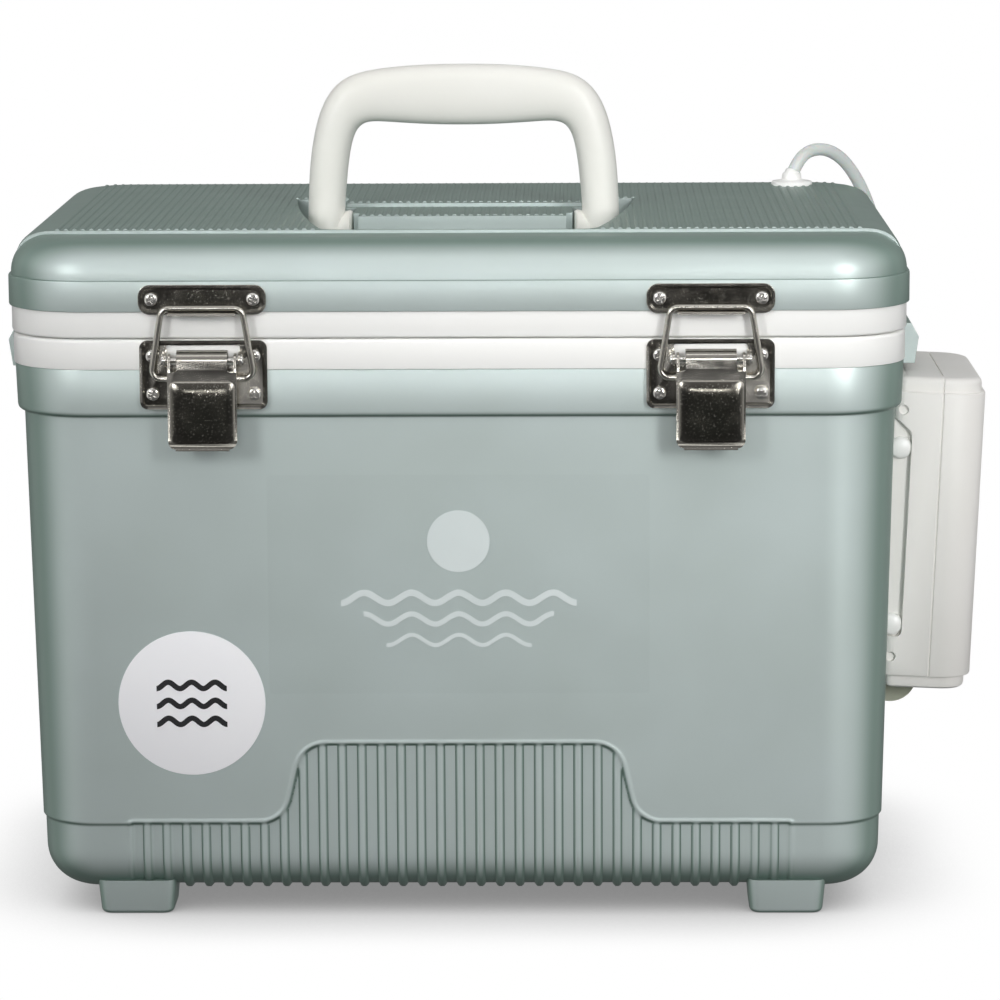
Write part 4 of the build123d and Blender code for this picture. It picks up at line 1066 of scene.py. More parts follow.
    def front_relief(self, height: float, share: float = 1.0,
                     lean: float = 1.0) -> Relief:
        """Relief of one level: further inset and lift for each point of the outline.

        Args:
            height: Height of the level, for the ribs' ends.
            share: Share of the relief that is left.
            lean: Cosine of the surface's angle under the skirt.

        Returns:
            A function of the point on the outline.
        """
        rise = math.sqrt(max(1 - lean * lean, 0.0))

        def relief(base: Vector) -> tuple[float, float]:
            """Inset and lift of one point."""
            plain = smoothstep(-0.2, 1.0, self.skirt_top - height)
            depth = plain
            if base.y < -119.9 and abs(base.x) < 146:
                depth = plain + (self.depth(base.x, height) - plain) * share
            return depth * lean, depth * rise

        return relief

    def build_shell(self) -> None:
        """Makes the outer shell from its inner floor up, over the rim and down to its base."""
        loft = Loft(Plan(least_corner=1.0), corner_steps=14, front_steps=444)
        inner = self.body_inset + 4 - self.draft * (self.rim_bottom - self.band_bottom)

        def hollow(height: float) -> float:
            """Inset of the inner wall at a height."""
            return inner + self.draft * (self.rim_bottom - height)

        loft.start(hollow(28.5) + 16, 12.5)
        loft.levels(arc((hollow(28.5) + 16, 28.5), 16, 240, 180, 2))
        loft.levels([(inner, 224.4), (2.6, 224.4), (2.25, 224.3), (2.1, 223.9), (2.68, 207.5)])
        loft.levels(on_circle((4.9, 207.5), 2.2, (200, 220, 240, 258, 270)))
        loft.levels([(5.15, 205.28), (5.38, 205.1), (self.wall_inset(204.4), 204.4),
                     (self.wall_inset(140), 140)])
        centre_height = self.base_bottom + self.base_round
        height = self.relief_top
        while height > centre_height + 0.1:
            loft.level(self.wall_inset(height), height, self.front_relief(height))
            height -= self.relief_step
        centre_inset = self.wall_inset(centre_height) + self.base_round
        for step in range(1, 17):
            angle = math.radians(90 * step / 16)
            low = centre_height - self.base_round * math.sin(angle)
            loft.level(centre_inset - self.base_round * math.cos(angle), low,
                       self.front_relief(low, 1.0, math.cos(angle)))
        loft.level(centre_inset + 4, self.base_bottom, self.front_relief(0, 0.6, 0.0))
        loft.level(centre_inset + 9, self.base_bottom, self.front_relief(0, 0.0, 0.0))
        loft.close()
        for x in (-self.foot_x, self.foot_x):
            for y in (-self.foot_y, self.foot_y):
                self.add_foot(loft.mesh, x, y)
        place_piece("tub_shell", loft.mesh, self.palette.shell,
                    Finish("tub", "shell_green", ("tub_outer_shell",), sharp=50))

    def add_foot(self, mesh: Mesh, x: float, y: float) -> None:
        """Adds one tapered foot with rounded edges.

        Args:
            mesh: Mesh that takes the foot.
            x: Its centre across.
            y: Its centre front to back.
        """
        part = bmesh.new()
        bmesh.ops.create_cube(part, size=1.0)
        bmesh.ops.scale(part, vec=(32, 28, 14), verts=part.verts)
        bmesh.ops.translate(part, vec=(0, 0, 7), verts=part.verts)
        upright = [e for e in part.edges if abs(e.verts[0].co.z - e.verts[1].co.z) > 1]
        bmesh.ops.bevel(part, geom=upright, offset=5, affect="EDGES", segments=6, profile=0.5,
                        material=-1)
        low = [e for e in part.edges if all(v.co.z < 0.01 for v in e.verts)]
        bmesh.ops.bevel(part, geom=low, offset=1.8, affect="EDGES", segments=4, profile=0.5,
                        material=-1)
        for vert in part.verts:
            shrink = 1 - (14 - vert.co.z) * math.tan(math.radians(5)) / 15
            vert.co.x *= shrink
            vert.co.y *= shrink
        merge_into(mesh, part, at(x, y))

    def build_liner(self) -> None:
        """Makes the white liner: cavity, rim and the rim's outer skirt."""
        loft = Loft(corner_steps=12)

        def cavity(height: float) -> float:
            """Inset of the cavity's wall at a height."""
            return 20 + self.draft * (236.5 - height)

        loft.start(cavity(42) + 12, 30)
        loft.levels(arc((cavity(42) + 12, 42), 12, 252, 180, 4))
        loft.levels([(cavity(234.6), 234.6), (19.6, 235.9), (18.6, 236.5), (3.1, 236.5)])
        loft.levels(on_circle((3.1, 235), 1.5, (110, 130, 150, 170, 180)))
        loft.levels([(1.6, 224.75), (1.8, 224.45), (4.0, 224.45), (4.0, 234.1), (17.8, 234.1),
                     (cavity(42) - 2.2, 42)])
        loft.levels(arc((cavity(42) + 12, 42), 14.2, 210, 270, 2))
        loft.close()
        place_piece("tub_liner_moulding", loft.mesh, self.palette.liner,
                    Finish("tub", "liner_white", ("tub_liner",), sharp=50))

    def build_lugs(self) -> None:
        """Makes the two strap lugs with their webbing slots."""
        mesh = bmesh.new()
        outline = [(174.0, 213.6), (187.2, 213.6), (188.8, 224.6), (185.6, 230.4),
                   (182.6, 230.4), (178.9, 226.6), (178.9, 224.4), (174.0, 224.4)]
        upright = Matrix(((1, 0, 0, 0), (0, 0, 1, 0), (0, 1, 0, 0), (0, 0, 0, 1)))
        for sign in (-1, 1):
            mirror = Matrix.Diagonal((sign, 1, 1, 1))
            prism(mesh, outline, -25, 25, mirror @ upright)
        bmesh.ops.recalc_face_normals(mesh, faces=mesh.faces)
        lugs = place_piece("strap_lug_pair", mesh, self.palette.shell,
                           Finish("tub", "shell_green", ("strap_lugs",), sharp=30))
        slots = bmesh.new()
        for sign in (-1, 1):
            rounded_box(slots, (2.4, 34, 60), 1.0, at(sign * 182.4, 0, 220))
        cut(lugs, slots)
        round_edges(lugs, 0.9, 30)

    def wave_band(self, half: float, swell: float, length: float, thick: float) -> Points:
        """Outline of a printed band that follows a wave.

        Args:
            half: Half of the band's width.
            swell: Height of the wave above its middle.
            length: Length of one wave.
            thick: Thickness of the band.

        Returns:
            Points round the band.
        """
        steps = 120
        xs = [-half + 2 * half * i / steps for i in range(steps + 1)]
        upper, lower = [], []
        for x in xs:
            y = swell * math.cos(math.tau * x / length)
            slope = -swell * math.tau / length * math.sin(math.tau * x / length)
            across = Vector((-slope, 1.0)).normalized() * (thick / 2)
            upper.append((x + across.x, y + across.y))
            lower.append((x - across.x, y - across.y))
        return upper + lower[::-1]

    def build_labels(self) -> None:
        """Makes the clear film with its pale print, and the round white label."""
        film = bmesh.new()
        prism(film, rounded_outline(152, 89, 2), 0.02, 0.14, self.wall_place(0, 98.4))
        place_piece("film_label_sheet", film, self.palette.film,
                    Finish("tub", "label_film", ("film_label",)))
        waves = bmesh.new()
        for row, half in enumerate((47.0, 38.0, 29.0)):
            prism(waves, self.wave_band(half, 2.1, 18.8, 2.6 - 0.5 * row), 0.1, 0.2,
                  self.wall_place(0, 93.0 - 8.6 * row))
        disc = bmesh.new()
        bmesh.ops.create_circle(disc, cap_ends=True, segments=72, radius=12.5)
        raised = bmesh.ops.extrude_face_region(disc, geom=disc.faces[:], use_keep_orig=True)
        bmesh.ops.translate(disc, vec=(0, 0, 0.1), verts=verts_of(raised))
        merge_into(waves, disc, self.wall_place(0, 116.0, 0.1))
        place_piece("film_label_print", waves, self.palette.pale_print,
                    Finish("tub", "label_film", ()))
        label = bmesh.new()
        turned(label, [(0, 0.02), (29.5, 0.02), (29.5, 0.24), (29.3, 0.3), (0, 0.3)],
               self.wall_place(-107.2, 50.0), steps=96)
        place_piece("round_label_disc", label, self.palette.label,
                    Finish("tub", "label_print", ("round_label",)))
        motif = bmesh.new()
        for row in range(3):
            prism(motif, self.wave_band(14.1, 1.3, 9.4, 2.2), 0.28, 0.36,
                  self.wall_place(-107.2, 57.4 - 7.4 * row))
        place_piece("round_label_print", motif, self.palette.dark_print,
                    Finish("tub", "label_print", ()))

    def build(self) -> None:
        """Builds every piece of the tub."""
        self.build_shell()
        self.build_liner()
        self.build_lugs()
        self.build_labels()


# -------------------- lid
UPRIGHT = Matrix(((1, 0, 0, 0), (0, 0, -1, 0), (0, 1, 0, 0), (0, 0, 0, 1)))
ACROSS = Matrix(((0, 0, 1, 0), (1, 0, 0, 0), (0, 1, 0, 0), (0, 0, 0, 1)))


@dataclass
class Lid:
    """Insulated lid: moulded shell with a ribbed tread and a handle pocket, liner and gasket.

    Attributes:
        palette: Finishes of the object.
        rib_pitch: Spacing of the tread's fine ribs.
        rib_width: Width of a fine rib.
        rib_height: How far a fine rib stands up.
        tread_top: Height of the tread under its ribs.
        pocket_floor: Height of the pocket's floor.
    """

    palette: Palette
    rib_pitch: float = 3.4
    rib_width: float = 1.9
    rib_height: float = 0.5
    tread_top: float = 276.7
    pocket_floor: float = 251.3

    def pocket_side(self, y: float) -> float:
        """Half width of the pocket at a place front to back, from its two arcs' three points."""
        ends = ((-90.0, 54.5), (-20.0, 66.8), (33.0, 71.5))
        total = 0.0
        for i, (yi, xi) in enumerate(ends):
            weight = 1.0
            for yj, _ in ends[:i] + ends[i + 1:]:
                weight *= (y - yj) / (yi - yj)
            total += weight * xi
        return total

    def pocket_outline(self) -> Points:
        """Outline of the pocket round the block that the handle turns on."""
        right = [(self.pocket_side(y), y) for y in (33, 20, 5, -10, -25, -40, -55, -70, -80)]
        right += [(x + 48.0, y) for x, y in arc((0, -82), 8, 0, -90, 6)[1:]]
        left = [(-x, y) for x, y in reversed(right)]
        block = [(-49.5, 33), (-49.5, 12), (-45.5, 12), (-45.5, -12), (-43, -12), (-43, -24),
                 (43, -24), (43, -12), (45.5, -12), (45.5, 12), (49.5, 12), (49.5, 33)]
        return right + left + block

    def build_shell(self) -> None:
        """Makes the lid's shell: body and tread joined, then the pocket taken out."""
        body = Loft(corner_steps=14)
        body.start(0.5, 247.5)
        body.levels([(0.15, 247.6), (0.0, 248.0), (0.0, 259.0), (0.12, 259.5), (0.5, 259.8),
                     (1.1, 259.82), (1.1, 260.5)])
        body.levels(arc((16.1, 260.5), 15, 174, 90, 14))
        body.close()
        shell = place_piece("lid_shell_moulding", body.mesh, self.palette.shell,
                            Finish("lid", "shell_green", ("lid_shell",), sharp=30))
        tread = Loft(corner_steps=14)
        tread.start(10.0, 262)
        swell = [(a, 14.4 + 1.8 * smoothstep(18, 60, a)) for a in range(18, 91, 6)]
        tread.levels([(16.1 - radius * math.cos(math.radians(a)),
                       260.5 + radius * math.sin(math.radians(a))) for a, radius in swell])
        tread.close()
        for y, normal in ((-92, -1), (104, 1)):
            cut_off = bmesh.ops.bisect_plane(
                tread.mesh, geom=tread.mesh.verts[:] + tread.mesh.edges[:] + tread.mesh.faces[:],
                plane_co=(0, y, 0), plane_no=(0, normal, 0), clear_outer=True)["geom_cut"]
            rim = [item for item in cut_off if isinstance(item, bmesh.types.BMEdge)]
            bmesh.ops.contextual_create(tread.mesh, geom=rim)
        combine(shell, tread.mesh, "UNION")
        shell.data.shade_smooth()
        shell.data.set_sharp_from_angle(angle=math.radians(30))
        pocket = bmesh.new()
        prism(pocket, self.pocket_outline(), self.pocket_floor, 300, Matrix())
        cut(shell, pocket)
        drop = bmesh.new()
        rounded_box(drop, (2 * 49.5 + 0.02, 39, 6), 0.01, at(0, -4.5, 278.2), 1)
        cut(shell, drop)
        round_edges(shell, 0.7, 40)

    def rib_runs(self, x: float) -> Points:
        """Stretches of tread that one fine rib runs along.

        Args:
            x: Place of the rib across the lid.

        Returns:
            Pairs of front and back ends.
        """
        corner, half_x, half_y = 18.0, 164.0, 104.0
        front, back = -89.4, half_y - 4.0
        over = abs(x) - (half_x - corner)
        if over > 0:
            end = half_y - corner + math.sqrt(max(corner * corner - over * over, 0.0))
            front, back = max(front, -end), min(back, end)
        margin = 2.6
        if abs(x) > 73.5:
            return [(front, back)]
        if abs(x) > 56.0:
            low, high = -90.0, 33.0
            for _ in range(24):
                middle = (low + high) / 2
                low, high = (middle, high) if self.pocket_side(middle) < abs(x) - 1.2 else (
                    low, middle)
            runs = [(front, low - margin), (33 + margin, back)]
            return [run for run in runs if run[1] - run[0] > 4]
        return [(19.0 if abs(x) < 48 else 33 + margin, back)]

    def build_tread_ribs(self) -> None:
        """Makes the tread's fine ribs, which run front to back."""
        mesh = bmesh.new()
        half = self.rib_width / 2
        profile = [(-half, -0.3), (half, -0.3), (half * 0.92, 0.12), (half * 0.6, 0.38),
                   (0, self.rib_height), (-half * 0.6, 0.38), (-half * 0.92, 0.12)]
        for index in range(-47, 48):
            x = index * self.rib_pitch
            for front, back in self.rib_runs(x):
                prism(mesh, profile, -back, -front, at(x, 0, self.tread_top) @ UPRIGHT)
        for index in range(-14, 15):
            x = index * self.rib_pitch
            if abs(x) < 44:
                prism(mesh, profile, -11.0, 21.0, at(x, 0, self.tread_top - 1.5) @ UPRIGHT)
        place_piece("lid_tread_ribs", mesh, self.palette.shell,
                    Finish("lid", "shell_green", (), sharp=60))

    def build_liner(self) -> None:
        """Makes the white liner with its band, seal groove and plug."""
        loft = Loft(corner_steps=12)
        loft.start(24.5, 231.9)
        loft.levels([(22.6, 232.2), (21.7, 233.1), (21.5, 234.2), (21.5, 236.9), (13.0, 236.9),
                     (13.0, 238.1), (9.0, 238.1), (9.0, 236.9), (2.3, 236.9), (1.5, 237.15),
                     (1.1, 237.9), (1.1, 247.5), (3.5, 247.5)])
        loft.close()
        place_piece("lid_liner_moulding", loft.mesh, self.palette.liner,
                    Finish("lid", "liner_white", ("lid_liner",), sharp=50))
        seal = Loft(corner_steps=12)
        seal.start(9.1, 238.0)
        seal.levels([(9.1, 236.9), (9.6, 236.62), (11.0, 236.6), (12.4, 236.62), (12.9, 236.9),
                     (12.9, 238.0)])
        seal.ring()
        place_piece("lid_seal_ring", seal.mesh, self.palette.gasket,
                    Finish("lid", "gasket_grey", ("lid_gasket",), sharp=50))

    def build(self) -> None:
        """Builds every piece of the lid."""
        self.build_shell()
        self.build_tread_ribs()
        self.build_liner()


# -------------------- handle
@dataclass
class Handle:
    """Folding carrying handle: one moulded loop with a hub at each leg's foot.

    Attributes:
        palette: Finishes of the object.
        stations: Outer and inner points of the right half, from the pivot to the middle.
        half_thick: Half of the thickness front to back.
        edge: How far its long edges are rounded.
    """

    palette: Palette
    stations: tuple[tuple[float, float, float, float], ...] = (
        (65.4, 264.0, 49.5, 264.0), (65.2, 276.0, 49.5, 276.0), (64.6, 290.0, 48.5, 288.0),
        (63.6, 300.0, 47.4, 298.0), (61.9, 309.6, 45.9, 305.4), (59.3, 318.6, 43.9, 309.8),
        (54.6, 326.8, 41.0, 312.0), (47.6, 332.0, 37.0, 312.6), (38.0, 334.4, 31.0, 312.2),
        (24.0, 335.9, 21.0, 311.5), (10.0, 336.6, 9.0, 310.9),
    )
    half_thick: float = 9.6
    edge: float = 4.6

    def section(self, outer: Vector, inner: Vector, half: float) -> list[Vector]:
        """Eight-cornered section across the handle.

        Args:
            outer: Point on the outer face.
            inner: Point on the inner face.
            half: Half of the thickness there.

        Returns:
            Points round the section.
        """
        toward = (inner - outer).normalized()
        side = Vector((0, 1, 0))
        edge = min(self.edge, 0.48 * (inner - outer).length, 0.9 * half)
        rows = ((outer, -(half - edge)), (outer, half - edge), (outer + toward * edge, half),
                (inner - toward * edge, half), (inner, half - edge), (inner, -(half - edge)),
                (inner - toward * edge, -half), (outer + toward * edge, -half))
        return [point + side * off for point, off in rows]

    def path(self) -> list[tuple[Vector, Vector, float]]:
        """Outer point, inner point and half thickness of each station, left foot to right."""
        foot = [(65.4, 264 - dz, 49.5, 264 - dz, half) for dz, half in
                ((9.5, 2.0), (8.4, 4.9), (6.2, 7.3), (3.2, 9.1))]
        right = foot + [(*row, self.half_thick) for row in self.stations]
        ends = [(Vector((a, 0, b)), Vector((c, 0, d)), h) for a, b, c, d, h in right]
        left = [(Vector((-o.x, 0, o.z)), Vector((-i.x, 0, i.z)), h) for o, i, h in ends]
        return left + ends[::-1]

    def build(self) -> None:
        """Sweeps the section along the loop and adds the hubs."""
        mesh = bmesh.new()
        stack(mesh, [self.section(*row) for row in self.path()], Matrix())
        place_piece("handle_loop", mesh, self.palette.handle,
                    Finish("handle", "handle_white", ("handle",), levels=2))
        hubs = bmesh.new()
        for sign in (-1, 1):
            place = at(0, 0, 264) @ turn(90 * sign, "Y")
            turned(hubs, [(0, 46.0), (9.6, 46.0), (10.9, 46.5), (11.4, 47.6), (10.8, 50.0),
                          (9.0, 53.5), (0, 53.5)], place, 40)
        place_piece("handle_hubs", hubs, self.palette.handle,
                    Finish("handle", "handle_white", (), sharp=30))


# -------------------- screws
@dataclass
class PanScrews:
    """Pan-head screws with a cross recess, copied to a set of seats.

    Attributes:
        head_radius: Radius of the head.
        head_height: Height of the head.
    """

    head_radius: float = 2.7
    head_height: float = 1.5

    def blank(self) -> Mesh:
        """One screw head with its recess, its seat at the origin and its top along +Z."""
        radius, height = self.head_radius, self.head_height
        head = bmesh.new()
        dome = [(radius, 0.5), (radius - 0.15, 0.85), (radius - 0.5, 1.12), (radius - 1.1, 1.34),
                (radius - 1.8, 1.46)]
        turned(head, [(0, -1.2), (1.4, -1.2), (1.4, 0.0), (radius, 0.0), *dome, (0, height)],
               Matrix(), 28)
        blank = add_object("screw", mesh_data("screw", head))
        cross = bmesh.new()
        arm = radius * 0.66
        half = radius * 0.19
        corner = [(arm, -half), (arm, half), (half, half)]
        prism(cross, [(turn(90 * quarter, "Z") @ Vector((*point, 0)))[:2] for quarter in range(4)
                      for point in corner], height - 0.9, height + 1, Matrix())
        bmesh.ops.scale(cross, vec=(1 / MM, 1 / MM, 1 / MM), verts=cross.verts)
        cut(blank, cross)
        made = bmesh.new()
        made.from_mesh(blank.data)
        bpy.data.objects.remove(blank)
        return made

    def build(self, name: str, seats: Sequence[Matrix], material: Material,
              finish: Finish) -> None:
        """Copies the screw to each seat as one piece.

        Args:
            name: Name of the piece.
            seats: Matrices that place the screws.
            material: Their material.
            finish: How the piece is attached.
        """
        mesh = bmesh.new()
        for index, seat in enumerate(seats):
            merge_into(mesh, self.blank(), seat @ turn(23 + 37 * index, "Z"))
        place_piece(name, mesh, material, finish)


def facing(x: float, y: float, z: float, front: bool = True) -> Matrix:
    """Matrix whose Z axis points out of the front or the back, with its Y axis up."""
    return at(x, y, z) @ turn(0 if front else 180, "Z") @ turn(90, "X")


# -------------------- sheet metal
def pressed_plate(mesh: Mesh, width: float, height: float, corner: float,
                  thick: float, place: Matrix, rim: float = 1.3, sink: float = 0.35) -> None:
    """Adds a plate whose middle is pressed in behind a raised rim.

    Args:
        mesh: Mesh that takes the plate.
        width: Full width.
        height: Full height.
        corner: Corner radius.
        thick: Thickness of the sheet.
        place: Matrix whose Z axis points out of the plate's face.
        rim: Width of the raised rim.
        sink: How far the middle is pressed in.
    """
    part = bmesh.new()
    prism(part, rounded_outline(width, height, corner), 0, thick, Matrix())
    face = max(part.faces, key=lambda item: item.calc_center_median().z)
    for inset, drop in ((rim, 0.0), (0.5, -sink)):
        bmesh.ops.inset_region(part, faces=[face], thickness=inset, depth=0.0)
        bmesh.ops.translate(part, vec=(0, 0, drop), verts=face.verts)
    bmesh.ops.recalc_face_normals(part, faces=part.faces)
    merge_into(mesh, part, place)


def bent_wire(points: Sequence[Vector], radius: float) -> Mesh:
    """Round wire along a line of points.

    Args:
        points: Points of the wire's centre line.
        radius: Radius of the wire.

    Returns:
        The wire's closed mesh.
    """
    data = bpy.data.curves.new("wire", "CURVE")
    data.dimensions = "3D"
    data.bevel_depth = radius
    data.bevel_resolution = 4
    data.use_fill_caps = True
    spline = data.splines.new("POLY")
    spline.points.add(len(points) - 1)
    for point, place in zip(spline.points, points):
        point.co = (*place, 1)
    holder = add_object("wire", data)
    made = bmesh.new()
    made.from_mesh(worked_out(holder))
    bpy.data.objects.remove(holder)
    return made


def rounded_route(corners: Sequence[Vector], radius: float, steps: int = 6) -> list[Vector]:
    """Line through corners, each rounded by an arc.

    Args:
        corners: Corners of the line, ends included.
        radius: Radius of the bends.
        steps: Spans round each bend.

    Returns:
        Points of the rounded line.
    """
    points = [corners[0]]
    for before, corner, after in zip(corners, corners[1:], corners[2:]):
        back = (before - corner).normalized()
        on = (after - corner).normalized()
        half = back.angle(on) / 2
        centre = corner + (back + on).normalized() * (radius / math.sin(half))
        start = (corner + back * (radius / math.tan(half)) - centre).normalized()
        stop = (corner + on * (radius / math.tan(half)) - centre).normalized()
        for step in range(steps + 1):
            points.append(centre + start.slerp(stop, step / steps) * radius)
    return points + [corners[-1]]


# -------------------- hinges
@dataclass
class Hinges:
    """Two steel butt hinges at the back, each with leaves, a pin and screws.

    Attributes:
        palette: Finishes of the object.
        xs: Middle of each hinge across the cooler.
        width: Width of a hinge.
        axis_y: Front-to-back place of the pins.
        axis_z: Height of the pins.
        knuckle: Length of one knuckle.
    """

    palette: Palette
    xs: tuple[float, float] = (-105.0, 105.0)
    width: float = 60.0
    axis_y: float = 122.6
    axis_z: float = 236.7
    knuckle: float = 15.0

    def leaf(self, mesh: Mesh, x: float, seat: tuple[float, float], back: float,
             knuckles: Outline, upper: bool) -> None:
        """Adds one leaf: its plate, its arms and its knuckles.

        Args:
            mesh: Mesh that takes the leaf.
            x: Middle of the hinge.
            seat: Low and high ends of the plate.
            back: Wall that the plate lies on.
            knuckles: Start and stop of each knuckle, from the hinge's middle.
            upper: Whether it is the lid's leaf.
        """
        low, high = seat
        pressed_plate(mesh, self.width, high - low, 3.0, 1.5,
                      facing(x, back, (low + high) / 2, front=False), rim=1.2, sink=0.12)
        near = low if upper else high
        sign = 1 if upper else -1
        for start, stop in knuckles:
            line = [(back + 1.45, near + sign * 2.0), (back + 1.5, near - sign * 0.2),
                    (self.axis_y - 1.2, self.axis_z + sign * 2.4)]
            bend_profile(mesh, line, 1.3 * sign, start, stop, at(x) @ ACROSS)
            turned(mesh, [(1.7, start), (2.95, start), (2.95, stop), (1.7, stop), (1.7, start)],
                   at(x, self.axis_y, self.axis_z) @ turn(90, "Y"), 28)

    def build(self) -> None:
        """Builds the leaves, pins and screws."""
        half = self.width / 2
        outer = ((-half, -half + self.knuckle), (half - self.knuckle, half))
        middle = ((-half + self.knuckle + 0.6, half - self.knuckle - 0.6),)
        lower = bmesh.new()
        upper = bmesh.new()
        pins = bmesh.new()
        for x in self.xs:
            self.leaf(lower, x, (211.0, 233.0), 118.4, outer, upper=False)
            self.leaf(upper, x, (241.0, 261.0), 120.0, middle, upper=True)
            place = at(x, self.axis_y, self.axis_z) @ turn(90, "Y")
            turned(pins, [(0, -31.4), (1.8, -31.4), (2.4, -30.9), (2.4, -30.3), (1.6, -30.3),
                          (1.6, 30.3), (2.4, 30.3), (2.4, 30.9), (1.8, 31.4), (0, 31.4)],
                   place, 28)
        place_piece("hinge_leaves_tub", lower, self.palette.hinge,
                    Finish("tub", "hinge_steel", ("hinge_tub_leaves",), bevel=0.2, sharp=30))
        place_piece("hinge_leaves_lid", upper, self.palette.hinge,
                    Finish("lid", "hinge_steel", ("hinge_lid_leaves",), bevel=0.2, sharp=30))
        place_piece("hinge_pin_pair", pins, self.palette.screw,
                    Finish("tub", "hinge_steel", ("hinge_pins",), sharp=30))
        xs = [x + off for x in self.xs for off in (-21, 21)]
        screws = PanScrews()
        screws.build("hinge_screws_tub", [facing(x, 119.8, 222, front=False) for x in xs],
                     self.palette.screw, Finish("tub", "screw_steel", ("hinge_tub_screws",)))
        screws.build("hinge_screws_lid", [facing(x, 121.4, 251, front=False) for x in xs],
                     self.palette.screw, Finish("lid", "screw_steel", ("hinge_lid_screws",)))


